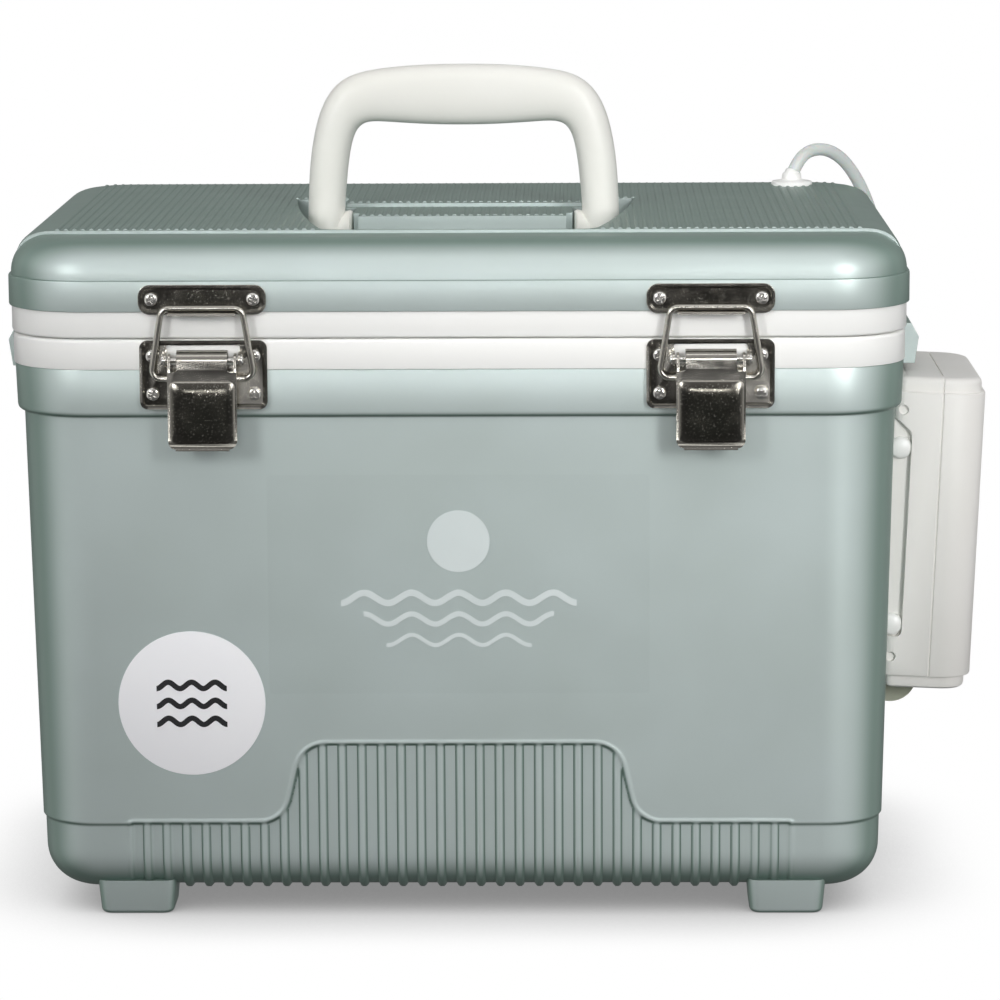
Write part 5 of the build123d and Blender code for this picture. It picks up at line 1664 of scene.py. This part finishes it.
# -------------------- latches
@dataclass
class Latch:
    """Draw latch: keeper on the lid, base plate on the tub, lever and wire bail.

    Attributes:
        palette: Finishes of the object.
        side: Side of the front that it is on.
        offset: Distance of its middle from the cooler's.
        pivot_y: Front-to-back place of the lever's pin.
        pivot_z: Height of the lever's pin.
        lid_front: Front-to-back place of the lid's front wall.
        tub_front: Front-to-back place of the band that the base plate lies on.
        face: Front-to-back place of the lever's face.
    """

    palette: Palette
    side: Side
    offset: float = 99.8
    pivot_y: float = -123.5
    pivot_z: float = 229.0
    lid_front: float = -120.0
    tub_front: float = -118.4
    face: float = -127.5

    @property
    def x(self) -> float:
        """Middle of the latch across the cooler."""
        return self.side.value * self.offset

    @property
    def across(self) -> Matrix:
        """Matrix that lays an outline of Y and Z at the latch's middle."""
        return at(self.x) @ ACROSS

    def finish(self, body: str, slot: str, node: str, **options: float) -> Finish:
        """Finish of a piece that stands for one of this side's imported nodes."""
        label = self.side.label
        return Finish(body, slot, (f"{node}_{label}",), **options)

    def build_keeper(self) -> None:
        """Makes the keeper plate with the ledge that the bail hooks over."""
        mesh = bmesh.new()
        pressed_plate(mesh, 50.4, 11.8, 4.6, 1.2, facing(self.x, self.lid_front, 252.5))
        lip = [(-120.4, 250.4), (-121.4, 249.0), (-122.2, 248.1), (-123.6, 247.9),
               (-124.9, 247.9), (-125.7, 247.5), (-125.9, 246.7)]
        bend_profile(mesh, lip, 0.9, -13.2, 13.2, self.across)
        place_piece(f"keeper_plate_{self.side.label}", mesh, self.palette.nickel,
                    self.finish("lid", "latch_steel", "keeper", bevel=0.22, segments=3, sharp=30))
        PanScrews().build(f"keeper_screw_pair_{self.side.label}",
                          [facing(self.x + off, -121.0, 252.7) for off in (-20, 20)],
                          self.palette.screw,
                          self.finish("lid", "screw_steel", "keeper_screws"))

    def build_base(self) -> None:
        """Makes the base plate with its window and the ears that carry the pin."""
        mesh = bmesh.new()
        pressed_plate(mesh, 50.4, 27.4, 3.2, 1.2, facing(self.x, self.tub_front, 222.5))
        name = f"latch_base_{self.side.label}"
        base = place_piece(name, mesh, self.palette.nickel,
                           self.finish("tub", "latch_steel", "base_plate", sharp=30))
        window = bmesh.new()
        rounded_box(window, (29, 8, 7.8), 1.0, at(self.x, -119, 230.5))
        cut(base, window)
        round_edges(base, 0.22, 30)
        ears = bmesh.new()
        outline = [(-118.0, 226.0), *arc((self.pivot_y, self.pivot_z), 3.0, 270, 90, 12),
                   (-118.0, 232.0)]
        for low, high in ((-15.1, -14.1), (14.1, 15.1)):
            prism(ears, outline, low, high, self.across)
        place_piece(f"latch_ears_{self.side.label}", ears, self.palette.nickel,
                    Finish("tub", "latch_steel", (), bevel=0.2, sharp=30))
        PanScrews().build(f"latch_screws_{self.side.label}",
                          [facing(self.x + off, -119.4, z) for off in (-20, 20)
                           for z in (230, 215)],
                          self.palette.screw, self.finish("tub", "screw_steel", "base_screws"))
        pin = bmesh.new()
        turned(pin, [(0, -16.2), (2.0, -16.2), (2.4, -15.8), (2.4, -15.2), (1.2, -15.2),
                     (1.2, 15.2), (2.4, 15.2), (2.4, 15.8), (2.0, 16.2), (0, 16.2)],
               at(self.x, self.pivot_y, self.pivot_z) @ turn(90, "Y"), 28)
        place_piece(f"latch_pin_{self.side.label}", pin, self.palette.screw,
                    self.finish("tub", "latch_steel", "pivot_pin", sharp=30))

    def build_lever(self) -> None:
        """Makes the lever: a sheet rolled round the pin, with flanges, pillow and lip."""
        roll = arc((self.pivot_y, self.pivot_z), 3.9, 20, 180, 16)
        line = [*roll, (self.face, 226.0), (self.face, 215.0), (self.face, 197.9),
                (self.face - 0.35, 196.5), (self.face - 1.2, 195.2), (self.face - 2.2, 194.4)]
        mesh = bmesh.new()
        bend_profile(mesh, line, 1.1, -13.6, 13.6, self.across)
        name = f"latch_lever_{self.side.label}"
        body = f"lever_{self.side.label}"
        lever = place_piece(name, mesh, self.palette.nickel,
                            self.finish(body, "latch_steel", "lever", sharp=30))
        notches = bmesh.new()
        for sign in (-1, 1):
            rounded_box(notches, (7.2, 16, 12), 0.8, at(self.x + sign * 13.6, self.pivot_y, 230.6))
            corner = [(sign * x, y) for x, y in
                      ((14, -1), (10.6, -1), *arc((10.6, 3), 3, -90, 0, 8), (14, 3))]
            prism(notches, corner, -6, 6, facing(self.x, self.face, 194.4))
        cut(lever, notches)
        lever.data.set_sharp_from_angle(angle=math.radians(30))
        round_edges(lever, 0.35, 40)
        extra = bmesh.new()
        flange = [(self.face + 0.3, 199.0), (self.face + 0.3, 225.0),
                  *arc((self.pivot_y, self.pivot_z), 2.6, 160, 0, 10),
                  (self.pivot_y + 2.5, 218.5), (self.face + 2.8, 200.0)]
        for low, high in ((-13.5, -12.4), (12.4, 13.5)):
            prism(extra, flange, low, high, self.across)
        place_piece(f"latch_flanges_{self.side.label}", extra, self.palette.nickel,
                    Finish(body, "latch_steel", (), bevel=0.25, sharp=30))
        pillow = bmesh.new()
        rows = ((0.0, -0.5, 2.6), (0.0, 0.0, 2.6), (0.2, 0.2, 2.7), (0.9, 0.62, 3.0),
                (1.9, 1.08, 3.4), (3.1, 1.4, 3.6), (4.6, 1.55, 3.6), (6.4, 1.6, 3.0))
        stack(pillow, [[(x, y, rise) for x, y in rounded_outline(
            25.8 - 2 * inset, 25.4 - 2 * inset, corner)] for inset, rise, corner in rows],
              facing(self.x, self.face + 0.02, 208.4))
        place_piece(f"latch_grip_{self.side.label}", pillow, self.palette.nickel,
                    Finish(body, "latch_steel", (), sharp=60))

    def build_bail(self) -> None:
        """Makes the wire bail that draws the lid down."""
        y, low, high = self.pivot_y, 221.6, 249.4
        corners = [Vector((self.x + dx, y, z)) for dx, z in (
            (-11.5, low), (-20.4, low), (-15.8, high), (15.8, high), (20.4, low), (11.5, low))]
        mesh = bent_wire(rounded_route(corners, 3.6), 1.25)
        place_piece(f"latch_bail_{self.side.label}", mesh, self.palette.nickel,
                    self.finish(f"bail_{self.side.label}", "screw_steel", "bail", sharp=60))

    def build(self) -> None:
        """Builds every piece of the latch."""
        self.build_keeper()
        self.build_base()
        self.build_lever()
        self.build_bail()


# -------------------- air line
@dataclass
class AirLine:
    """Hoses from the pump to the lid and from the lid to the air stone, with their fittings.

    Attributes:
        palette: Finishes of the object.
        diameter: Outside diameter of both hoses.
        port: Place across and front to back of the lid's fitting.
        outer_route: Control points from the lid's fitting down to the pump.
        inner_route: Control points from the lid's fitting down to the air stone.
    """

    palette: Palette
    diameter: float = 5.5
    port: tuple[float, float] = (141.5, 91.0)
    outer_route: tuple[tuple[float, float, float], ...] = (
        (142.252, 91.493, 282.559), (144.969, 93.274, 288.188), (150.4, 96.9, 291.7),
        (157.6, 101.5, 291.4), (164.6, 106.1, 286.9), (170.7, 110.1, 278.8),
        (176.2, 113.4, 267.4), (180.6, 115.2, 253.3), (184.4, 112.6, 238.5),
        (187.8, 105.6, 223.8), (191.0, 95.0, 210.6), (194.2, 81.5, 201.4),
        (196.66, 66.5, 195.29), (196.66, 52.0, 195.29),
    )
    inner_route: tuple[tuple[float, float, float], ...] = (
        (141.5, 91.0, 223.9), (141.5, 91.0, 202.0), (140.4, 89.8, 176.0), (138.4, 87.6, 146.0),
        (136.2, 85.2, 117.0), (132.6, 82.4, 90.0), (126.0, 77.6, 66.0), (114.4, 68.9, 48.0),
        (101.6, 59.2, 37.3), (88.0, 49.0, 37.3),
    )

    def hose(self, name: str, route: Sequence[tuple[float, float, float]],
             node: str) -> tuple[Object, list[Vector]]:
        """Makes one hose as a mesh tube on the route's smooth spline.

        Args:
            name: Name of the piece.
            route: The spline's control points in millimetres.
            node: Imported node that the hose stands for.

        Returns:
            The hose and the points that it follows, in metres.
        """
        data = bpy.data.curves.new(name, "CURVE")
        data.dimensions = "3D"
        data.resolution_u = 12
        spline = data.splines.new("NURBS")
        spline.points.add(len(route) - 1)
        for point, place in zip(spline.points, route):
            point.co = (place[0] * MM, place[1] * MM, place[2] * MM, 1)
        spline.order_u = 3
        spline.use_endpoint_u = True
        holder = add_object(name + "_line", data)
        line = worked_out(holder)
        path = [vert.co.copy() for vert in line.vertices]
        bpy.data.meshes.remove(line)
        data.bevel_depth = self.diameter / 2 * MM
        data.bevel_resolution = 5
        data.use_fill_caps = True
        tube = worked_out(holder)
        bpy.data.objects.remove(holder)
        tube.name = name
        made = bmesh.new()
        made.from_mesh(tube)
        bmesh.ops.remove_doubles(made, verts=made.verts, dist=1e-6)
        bmesh.ops.recalc_face_normals(made, faces=made.faces)
        made.to_mesh(tube)
        made.free()
        tube.materials.clear()
        tube.materials.append(self.palette.hose)
        tube.shade_smooth()
        tube.set_sharp_from_angle(angle=math.radians(50))
        piece = add_object(name, tube)
        attach(piece, Finish(None, "hose_clear", (node,)))
        return piece, path

    def build_hoses(self) -> None:
        """Makes both hoses."""
        outer, path = self.hose("outer_hose", self.outer_route, "outer_air_hose")
        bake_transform(outer)
        inner, path = self.hose("inner_hose", self.inner_route, "inner_air_hose")
        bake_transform(inner)

    def length(self, path: Sequence[Vector]) -> float:
        """Length along a path of points."""
        return sum((after - before).length for before, after in zip(path, path[1:]))

    def build_fittings(self) -> None:
        """Makes the lid's bulkhead fitting and nut, the air stone and its nipple."""
        fitting = bmesh.new()
        turned(fitting, [(0, 276.2), (9.0, 276.2), (9.0, 277.9), (8.5, 278.5), (5.0, 278.9),
                         (4.3, 279.4), (4.1, 281.4), (3.8, 282.0), (0, 282.2)],
               at(*self.port), 48)
        turned(fitting, [(0, 224.0), (3.3, 224.0), (3.3, 228.0), (3.9, 228.0), (3.9, 276.6),
                         (0, 276.6)], at(*self.port), 32)
        lean = Vector((0.418, 0.274, 0.866)).to_track_quat("Z", "Y").to_matrix().to_4x4()
        turned(fitting, [(0, -1.5), (3.4, -1.5), (3.4, 1.6), (3.2, 1.95), (0, 1.95)],
               at(*self.port, 281) @ lean, 32)
        place_piece("lid_hose_fitting", fitting, self.palette.liner,
                    Finish("lid", "liner_white", ("hose_bulkhead",), sharp=40))
        nut = bmesh.new()
        bmesh.ops.create_cone(nut, cap_ends=True, segments=6, radius1=6.2, radius2=6.2, depth=3.9)
        bmesh.ops.translate(nut, vec=(*self.port, 229.9), verts=nut.verts)
        place_piece("hose_fitting_nut", nut, self.palette.liner,
                    Finish("lid", "liner_white", ("bulkhead_nut",), bevel=0.5, segments=3))
        along = Vector((-0.8, -0.6, 0)).to_track_quat("Z", "Y").to_matrix().to_4x4()
        place = at(84, 46, 37.3) @ along
        stone = bmesh.new()
        turned(stone, [(0, 0), (5.6, 0), (6.6, 0.4), (7, 1.4), (7, 24.6), (6.6, 25.6), (5.6, 26),
                       (0, 26)], place, 40)
        place_piece("air_stone_body", stone, self.palette.stone,
                    Finish("tub", "stone_grey", ("air_stone",), sharp=50))
        nipple = bmesh.new()
        turned(nipple, [(0, -5.0), (3.2, -5.0), (3.6, -4.6), (3.6, -1.6), (4.6, -1.2),
                        (4.6, 0.3), (0, 0.3)], place, 32)
        place_piece("air_stone_nipple", nipple, self.palette.liner,
                    Finish("tub", "liner_white", ("stone_nipple",), sharp=40))


# -------------------- pump
@dataclass
class Pump:
    """Battery air pump on the right wall: two shells, door, bracket, switch and works.

    Attributes:
        palette: Finishes of the object.
        nodes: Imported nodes, of which the inner ones are only given finishes.
        tilt: Lean of the pump, in degrees.
        base: Place across and height of the bottom of its middle.
        half_thick: Half of its thickness off the wall.
        half_width: Half of its width along the wall.
        height: Its height.
        door: Height of the battery door's upper edge.
        cap: Height of the stepped cap.
        seam: How far the seam lies outside its middle.
    """

    palette: Palette
    nodes: dict[str, Object]
    tilt: float = 2.5
    base: tuple[float, float] = (191.6, 79.4)
    half_thick: float = 19.0
    half_width: float = 45.0
    height: float = 130.4
    door: float = 5.5
    cap: float = 6.0
    seam: float = 0.8

    @property
    def place(self) -> Matrix:
        """Matrix from the pump's own upright frame."""
        return at(self.base[0], 0, self.base[1]) @ turn(self.tilt, "Y")

    def outline(self, inset: float, outer: bool) -> Points:
        """Half of the pump's plan at an inset, as an open line from -Y to +Y.

        Args:
            inset: How far the line stands in.
            outer: Whether it is the half away from the cooler.

        Returns:
            Points of the line.
        """
        sign = 1 if outer else -1
        radius = (14.0 if outer else 5.0) - inset
        far = self.half_thick - inset
        wide = self.half_width - inset
        corner = arc((far - radius, radius - wide), radius, -90, 0, 10 if outer else 5)
        line = [(self.seam, -wide + 0.6), (self.seam + sign * 0.5, -wide),
                *((sign * x, y) for x, y in corner)]
        return line + [(x, -y) for x, y in reversed(line)]

    def shell_half(self, outer: bool) -> Mesh:
        """One shell of the case: lofted levels with a stepped cap and a rounded seam edge.

        Args:
            outer: Whether it is the half away from the cooler.

        Returns:
            Its mesh in millimetres.
        """
        top = self.height - self.cap
        rows = [(1.0, self.door), (0.35, self.door + 0.15), (0.0, self.door + 0.8),
                (0.0, top - 0.7), (0.2, top - 0.2), (0.7, top), (1.7, top), (1.7, top + 3.6),
                (2.0, top + 4.7), (2.8, top + 5.5), (4.2, top + 5.9), (6.2, top + 6.0)]
        mesh = bmesh.new()
        stack(mesh, [[(x, y, height) for x, y in self.outline(inset, outer)]
                     for inset, height in rows], Matrix())
        return mesh

    def build_case(self) -> None:
        """Makes both shells with the side recess, the switch recess and the battery door."""
        for outer in (True, False):
            mesh = self.shell_half(outer)
            bmesh.ops.transform(mesh, matrix=self.place, verts=mesh.verts)
            kind = "outer" if outer else "inner"
            case = place_piece(f"pump_case_{kind}", mesh, self.palette.pump,
                               Finish("tub", "pump_white", (f"pump_{kind}_shell",), sharp=35))
            if outer:
                recess = bmesh.new()
                rounded_box(recess, (6, 11, 22), 1.2, self.place @ at(19.6, 0, 100))
                cut(case, recess)
            else:
                groove = bmesh.new()
                prism(groove, [(-24, 22), *arc((-13.8, 24.5), 2.5, -90, 0, 5),
                               *arc((-15.3, 106.0), 4.0, 0, 58, 5), (-16.6, 112.4),
                               (-24, 115.5)], -3.0, 60,
                      self.place @ at(0, -45.0, 0) @ turn(90, "X"))
                cut(case, groove)
                for height in (13.6, 117.0):
                    screw = bmesh.new()
                    turned(screw, [(0, -1.6), (2.0, -1.6), (2.0, 6.0), (0, 6.0)],
                           self.place @ at(-15.2, -45.0, height) @ turn(90, "X"), 28)
                    cut(case, screw)
            line = bmesh.new()
            rounded_box(line, (0.6, 70, 1.2), 0.05, self.place @ at(self.seam, 0, self.height), 1)
            cut(case, line)
            round_edges(case, 0.45, 40)
        door = bmesh.new()
        rows = ((2.4, self.door + 0.4), (2.4, 2.2), (2.8, 0.9), (3.7, 0.2), (5.2, 0.0))
        rings = []
        for inset, height in rows:
            far, wide = self.half_thick - inset, self.half_width - inset
            ring = []
            for sx, sy, radius, start in ((1, 1, 12.0, 0), (-1, 1, 4.0, 90), (-1, -1, 4.0, 180),
                                          (1, -1, 12.0, 270)):
                radius = max(radius - inset * 0.6, 2.0)
                ring += arc((sx * (far - radius), sy * (wide - radius)), radius, start,
                            start + 90, 8)
            rings.append([(x, y, height) for x, y in ring])
        stack(door, rings, self.place)
        place_piece("pump_door", door, self.palette.pump,
                    Finish("tub", "pump_white", ("pump_battery_door",), sharp=35))

    def build_fittings(self) -> None:
        """Makes the side plugs, the nozzle and the switch slider."""
        plugs = bmesh.new()
        for height in (27.0, 101.0):
            turned(plugs, [(0, -0.5), (4.6, -0.5), (4.6, 1.2), (4.3, 2.0), (3.4, 2.6), (0, 2.9)],
                   self.place @ at(-15.6, -42.0, height) @ turn(90, "X"), 40)
        place_piece("pump_plugs", plugs, self.palette.liner,
                    Finish("tub", "liner_white", ("pump_side_plugs",), sharp=50))
        nozzle = bmesh.new()
        turned(nozzle, [(0, -4), (2.6, -4), (2.6, 0), (4.4, 0), (4.2, 1.2), (3.4, 6.8), (3.1, 7.0),
                        (0, 7.0)],
               self.place @ at(0, 45, 116) @ turn(-90, "X"), 32)
        place_piece("pump_outlet", nozzle, self.palette.liner,
                    Finish("tub", "liner_white", ("pump_nozzle",), sharp=40))
        slider = bmesh.new()
        rounded_box(slider, (1.9, 10.2, 10), 0.5, at(17.75, 0, 95.5), 2)
        for row in range(4):
            rounded_box(slider, (0.9, 8.4, 0.9), 0.3, at(18.6, 0, 92.6 + 2.0 * row), 2)
        bmesh.ops.transform(slider, matrix=self.place, verts=slider.verts)
        place_piece("pump_switch", slider, self.palette.bracket,
                    Finish("slider", "pump_grey", ("switch_slider",), sharp=40))

    def dress_inner_nodes(self) -> None:
        """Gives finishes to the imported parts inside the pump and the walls."""
        palette = self.palette
        finishes = {
            "tub_foam": palette.foam, "lid_foam": palette.foam, "pump_bracket": palette.bracket,
            "handle_pins": palette.screw, "d_cells": palette.cell,
            "upper_contacts": palette.brass, "lower_contact": palette.brass,
            "motor": palette.hinge, "motor_shaft": palette.screw,
            "connecting_rod": palette.dark_plastic, "diaphragm": palette.gasket,
            "air_head": palette.dark_plastic,
        }
        for name, material in finishes.items():
            node = self.nodes[name]
            node.data.materials.clear()
            node.data.materials.append(material)
            log.info("%s: finish %s", name, material.name)

    def build(self) -> None:
        """Builds every piece of the pump."""
        self.build_case()
        self.build_fittings()
        self.dress_inner_nodes()


# -------------------- studio
@dataclass
class Studio:
    """Camera, lamps, floor and a plain white surround.

    Attributes:
        place: Place of the camera in metres.
        pitch: How far it looks down, in degrees.
        yaw: How far it looks to the left, in degrees.
        roll: Turn about its own axis, in degrees.
        lens: Focal length in millimetres.
    """

    place: tuple[float, float, float] = (0.04786, -1.81308, 0.45792)
    pitch: float = 9.5696
    yaw: float = 1.0518
    roll: float = -0.29997
    lens: float = 156.47

    def build_camera(self) -> None:
        """Adds the camera at the place that the object is seen from."""
        pitch, yaw, roll = (math.radians(a) for a in (self.pitch, self.yaw, self.roll))
        ahead = Vector((-math.sin(yaw) * math.cos(pitch), math.cos(yaw) * math.cos(pitch),
                        -math.sin(pitch)))
        right = Vector((math.cos(yaw), math.sin(yaw), 0))
        above = right.cross(ahead)
        across = right * math.cos(roll) + above * math.sin(roll)
        upward = above * math.cos(roll) - right * math.sin(roll)
        turned_to = Matrix((across, upward, -ahead)).transposed().to_4x4()
        data = bpy.data.cameras.new("camera")
        data.lens = self.lens
        data.sensor_width = 36.0
        data.clip_start = 0.05
        data.clip_end = 50.0
        camera = add_object("camera", data)
        camera.matrix_world = at(*self.place) @ turned_to
        bpy.context.scene.camera = camera

    def add_lamp(self, name: str, place: Sequence[float], target: Sequence[float],
                 size: tuple[float, float], power: float, spread: float) -> None:
        """Adds a soft rectangular lamp.

        Args:
            name: Name of the lamp.
            place: Where it hangs, in metres.
            target: Point that it faces.
            size: Width and height in metres.
            power: Power in watts.
            spread: How wide its light spreads, in degrees.
        """
        data = bpy.data.lights.new(name, "AREA")
        data.shape = "RECTANGLE"
        data.size, data.size_y = size
        data.energy = power
        data.spread = math.radians(spread)
        lamp = add_object(name, data)
        aim = (Vector(target) - Vector(place)).to_track_quat("-Z", "Y")
        lamp.matrix_world = at(*place) @ aim.to_matrix().to_4x4()

    def build_world(self) -> None:
        """Makes the surround: white to the eye, and a graded studio to glossy surfaces."""
        world = bpy.data.worlds.new("studio")
        bpy.context.scene.world = world
        tree = cleared(world)
        rays = add_node(tree, "ShaderNodeLightPath")
        direction = add_node(tree, "ShaderNodeTexCoord").outputs["Generated"]
        split = add_node(tree, "ShaderNodeSeparateXYZ", links={0: direction})
        ramp = add_node(tree, "ShaderNodeValToRGB", links={"Fac": split.outputs["Z"]})
        stops = ((0.0, 0.15), (0.04, 0.27), (0.30, 0.42), (0.60, 0.55), (1.0, 0.50))
        while len(ramp.color_ramp.elements) < len(stops):
            ramp.color_ramp.elements.new(0.5)
        for element, (position, grey) in zip(ramp.color_ramp.elements, stops):
            element.position = position
            element.color = (grey, grey, grey * 1.01, 1)
        lit = add_node(tree, "ShaderNodeBackground", {"Strength": 1.0},
                       {"Color": ramp.outputs["Color"]})
        seen = add_node(tree, "ShaderNodeBackground", {"Color": (1, 1, 1, 1), "Strength": 1.0})
        aside = add_node(tree, "ShaderNodeMath", {"operation": "ABSOLUTE"},
                         {0: split.outputs["X"]})
        strips = add_node(tree, "ShaderNodeValToRGB", links={"Fac": aside.outputs[0]})
        for position, grey in ((0.66, 0.0), (0.80, 1.0), (0.93, 1.0)):
            strips.color_ramp.elements.new(position).color = (grey, grey, grey, 1)
        strips.color_ramp.elements[0].color = (0, 0, 0, 1)
        strips.color_ramp.elements[-1].color = (0.3, 0.3, 0.3, 1)
        shine = add_node(tree, "ShaderNodeMath", {"operation": "MULTIPLY", 1: 0.7},
                         {0: rays.outputs["Is Glossy Ray"]})
        extra = add_node(tree, "ShaderNodeBackground", None,
                         {"Color": strips.outputs["Color"], "Strength": shine.outputs[0]})
        glossed = add_node(tree, "ShaderNodeAddShader", None,
                           {0: lit.outputs[0], 1: extra.outputs[0]})
        mixed = add_node(tree, "ShaderNodeMixShader", None,
                         {0: rays.outputs["Is Camera Ray"], 1: glossed.outputs[0],
                          2: seen.outputs[0]})
        add_node(tree, "ShaderNodeOutputWorld", links={"Surface": mixed.outputs[0]})

    def build_floor(self) -> None:
        """Makes a wide floor that glows white to the eye, with a painted shadow where ambient
        occlusion finds the object near.
        """
        mesh = bmesh.new()
        bmesh.ops.create_circle(mesh, cap_ends=True, segments=64, radius=6.0)
        floor = add_object("floor", mesh_data("floor", mesh))
        material = bpy.data.materials.new("studio_floor")
        tree = cleared(material)
        rays = add_node(tree, "ShaderNodeLightPath")
        matt = add_node(tree, "ShaderNodeBsdfDiffuse", {"Color": (0.80, 0.80, 0.80, 1)})
        # Painted shadow: ambient occlusion near the object dims the floor's glow, which is all the
        # eye sees of it.
        painted_shadow_ao = add_node(tree, "ShaderNodeAmbientOcclusion", {"samples": 12, "Distance": 0.072})
        strength = add_node(tree, "ShaderNodeMapRange",
                            {"From Min": 0.05, "From Max": 0.86, "To Min": 0.24, "To Max": 1.0},
                            {"Value": painted_shadow_ao.outputs["AO"]})
        glow = add_node(tree, "ShaderNodeEmission", {"Color": (1, 1, 1, 1)},
                        {"Strength": strength.outputs["Result"]})
        mixed = add_node(tree, "ShaderNodeMixShader", None,
                         {0: rays.outputs["Is Camera Ray"], 1: matt.outputs[0],
                          2: glow.outputs[0]})
        add_node(tree, "ShaderNodeOutputMaterial", links={"Surface": mixed.outputs[0]})
        floor.data.materials.append(material)
        floor.visible_diffuse = False
        floor.visible_glossy = False

    def build(self) -> None:
        """Builds the studio, camera first."""
        self.build_camera()
        self.build_world()
        self.build_floor()
        self.add_lamp("left", (-0.72, -1.15, 0.68), (-0.05, -0.12, 0.25), (0.36, 0.6), 0.28, 27)
        self.add_lamp("right", (0.62, -1.15, 0.68), (0.07, -0.12, 0.25), (0.36, 0.6), 0.26, 27)
        self.add_lamp("crown", (0.0, -0.44, 0.74), (0, -0.08, 0.30), (0.8, 0.12), 0.21, 120)
        self.add_lamp("band", (0, -0.9, 0.30), (0, -0.12, 0.235), (0.7, 0.05), 0.034, 22)
        self.add_lamp("side", (0.8, -1.3, 0.4), (0.21, -0.04, 0.13), (0.2, 0.3), 0.15, 26)
        bpy.context.scene.view_settings.view_transform = "Standard"


def main() -> None:
    """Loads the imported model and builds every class."""
    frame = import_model()
    studio = Studio()
    studio.build()
    palette = Palette()
    air = AirLine(palette)
    air.build_hoses()
    Tub(palette).build()
    Lid(palette).build()
    Handle(palette).build()
    Hinges(palette).build()
    for side in Side:
        Latch(palette, side).build()
    air.build_fittings()
    Pump(palette, frame["nodes"]).build()


if __name__ == "__main__":
    main()
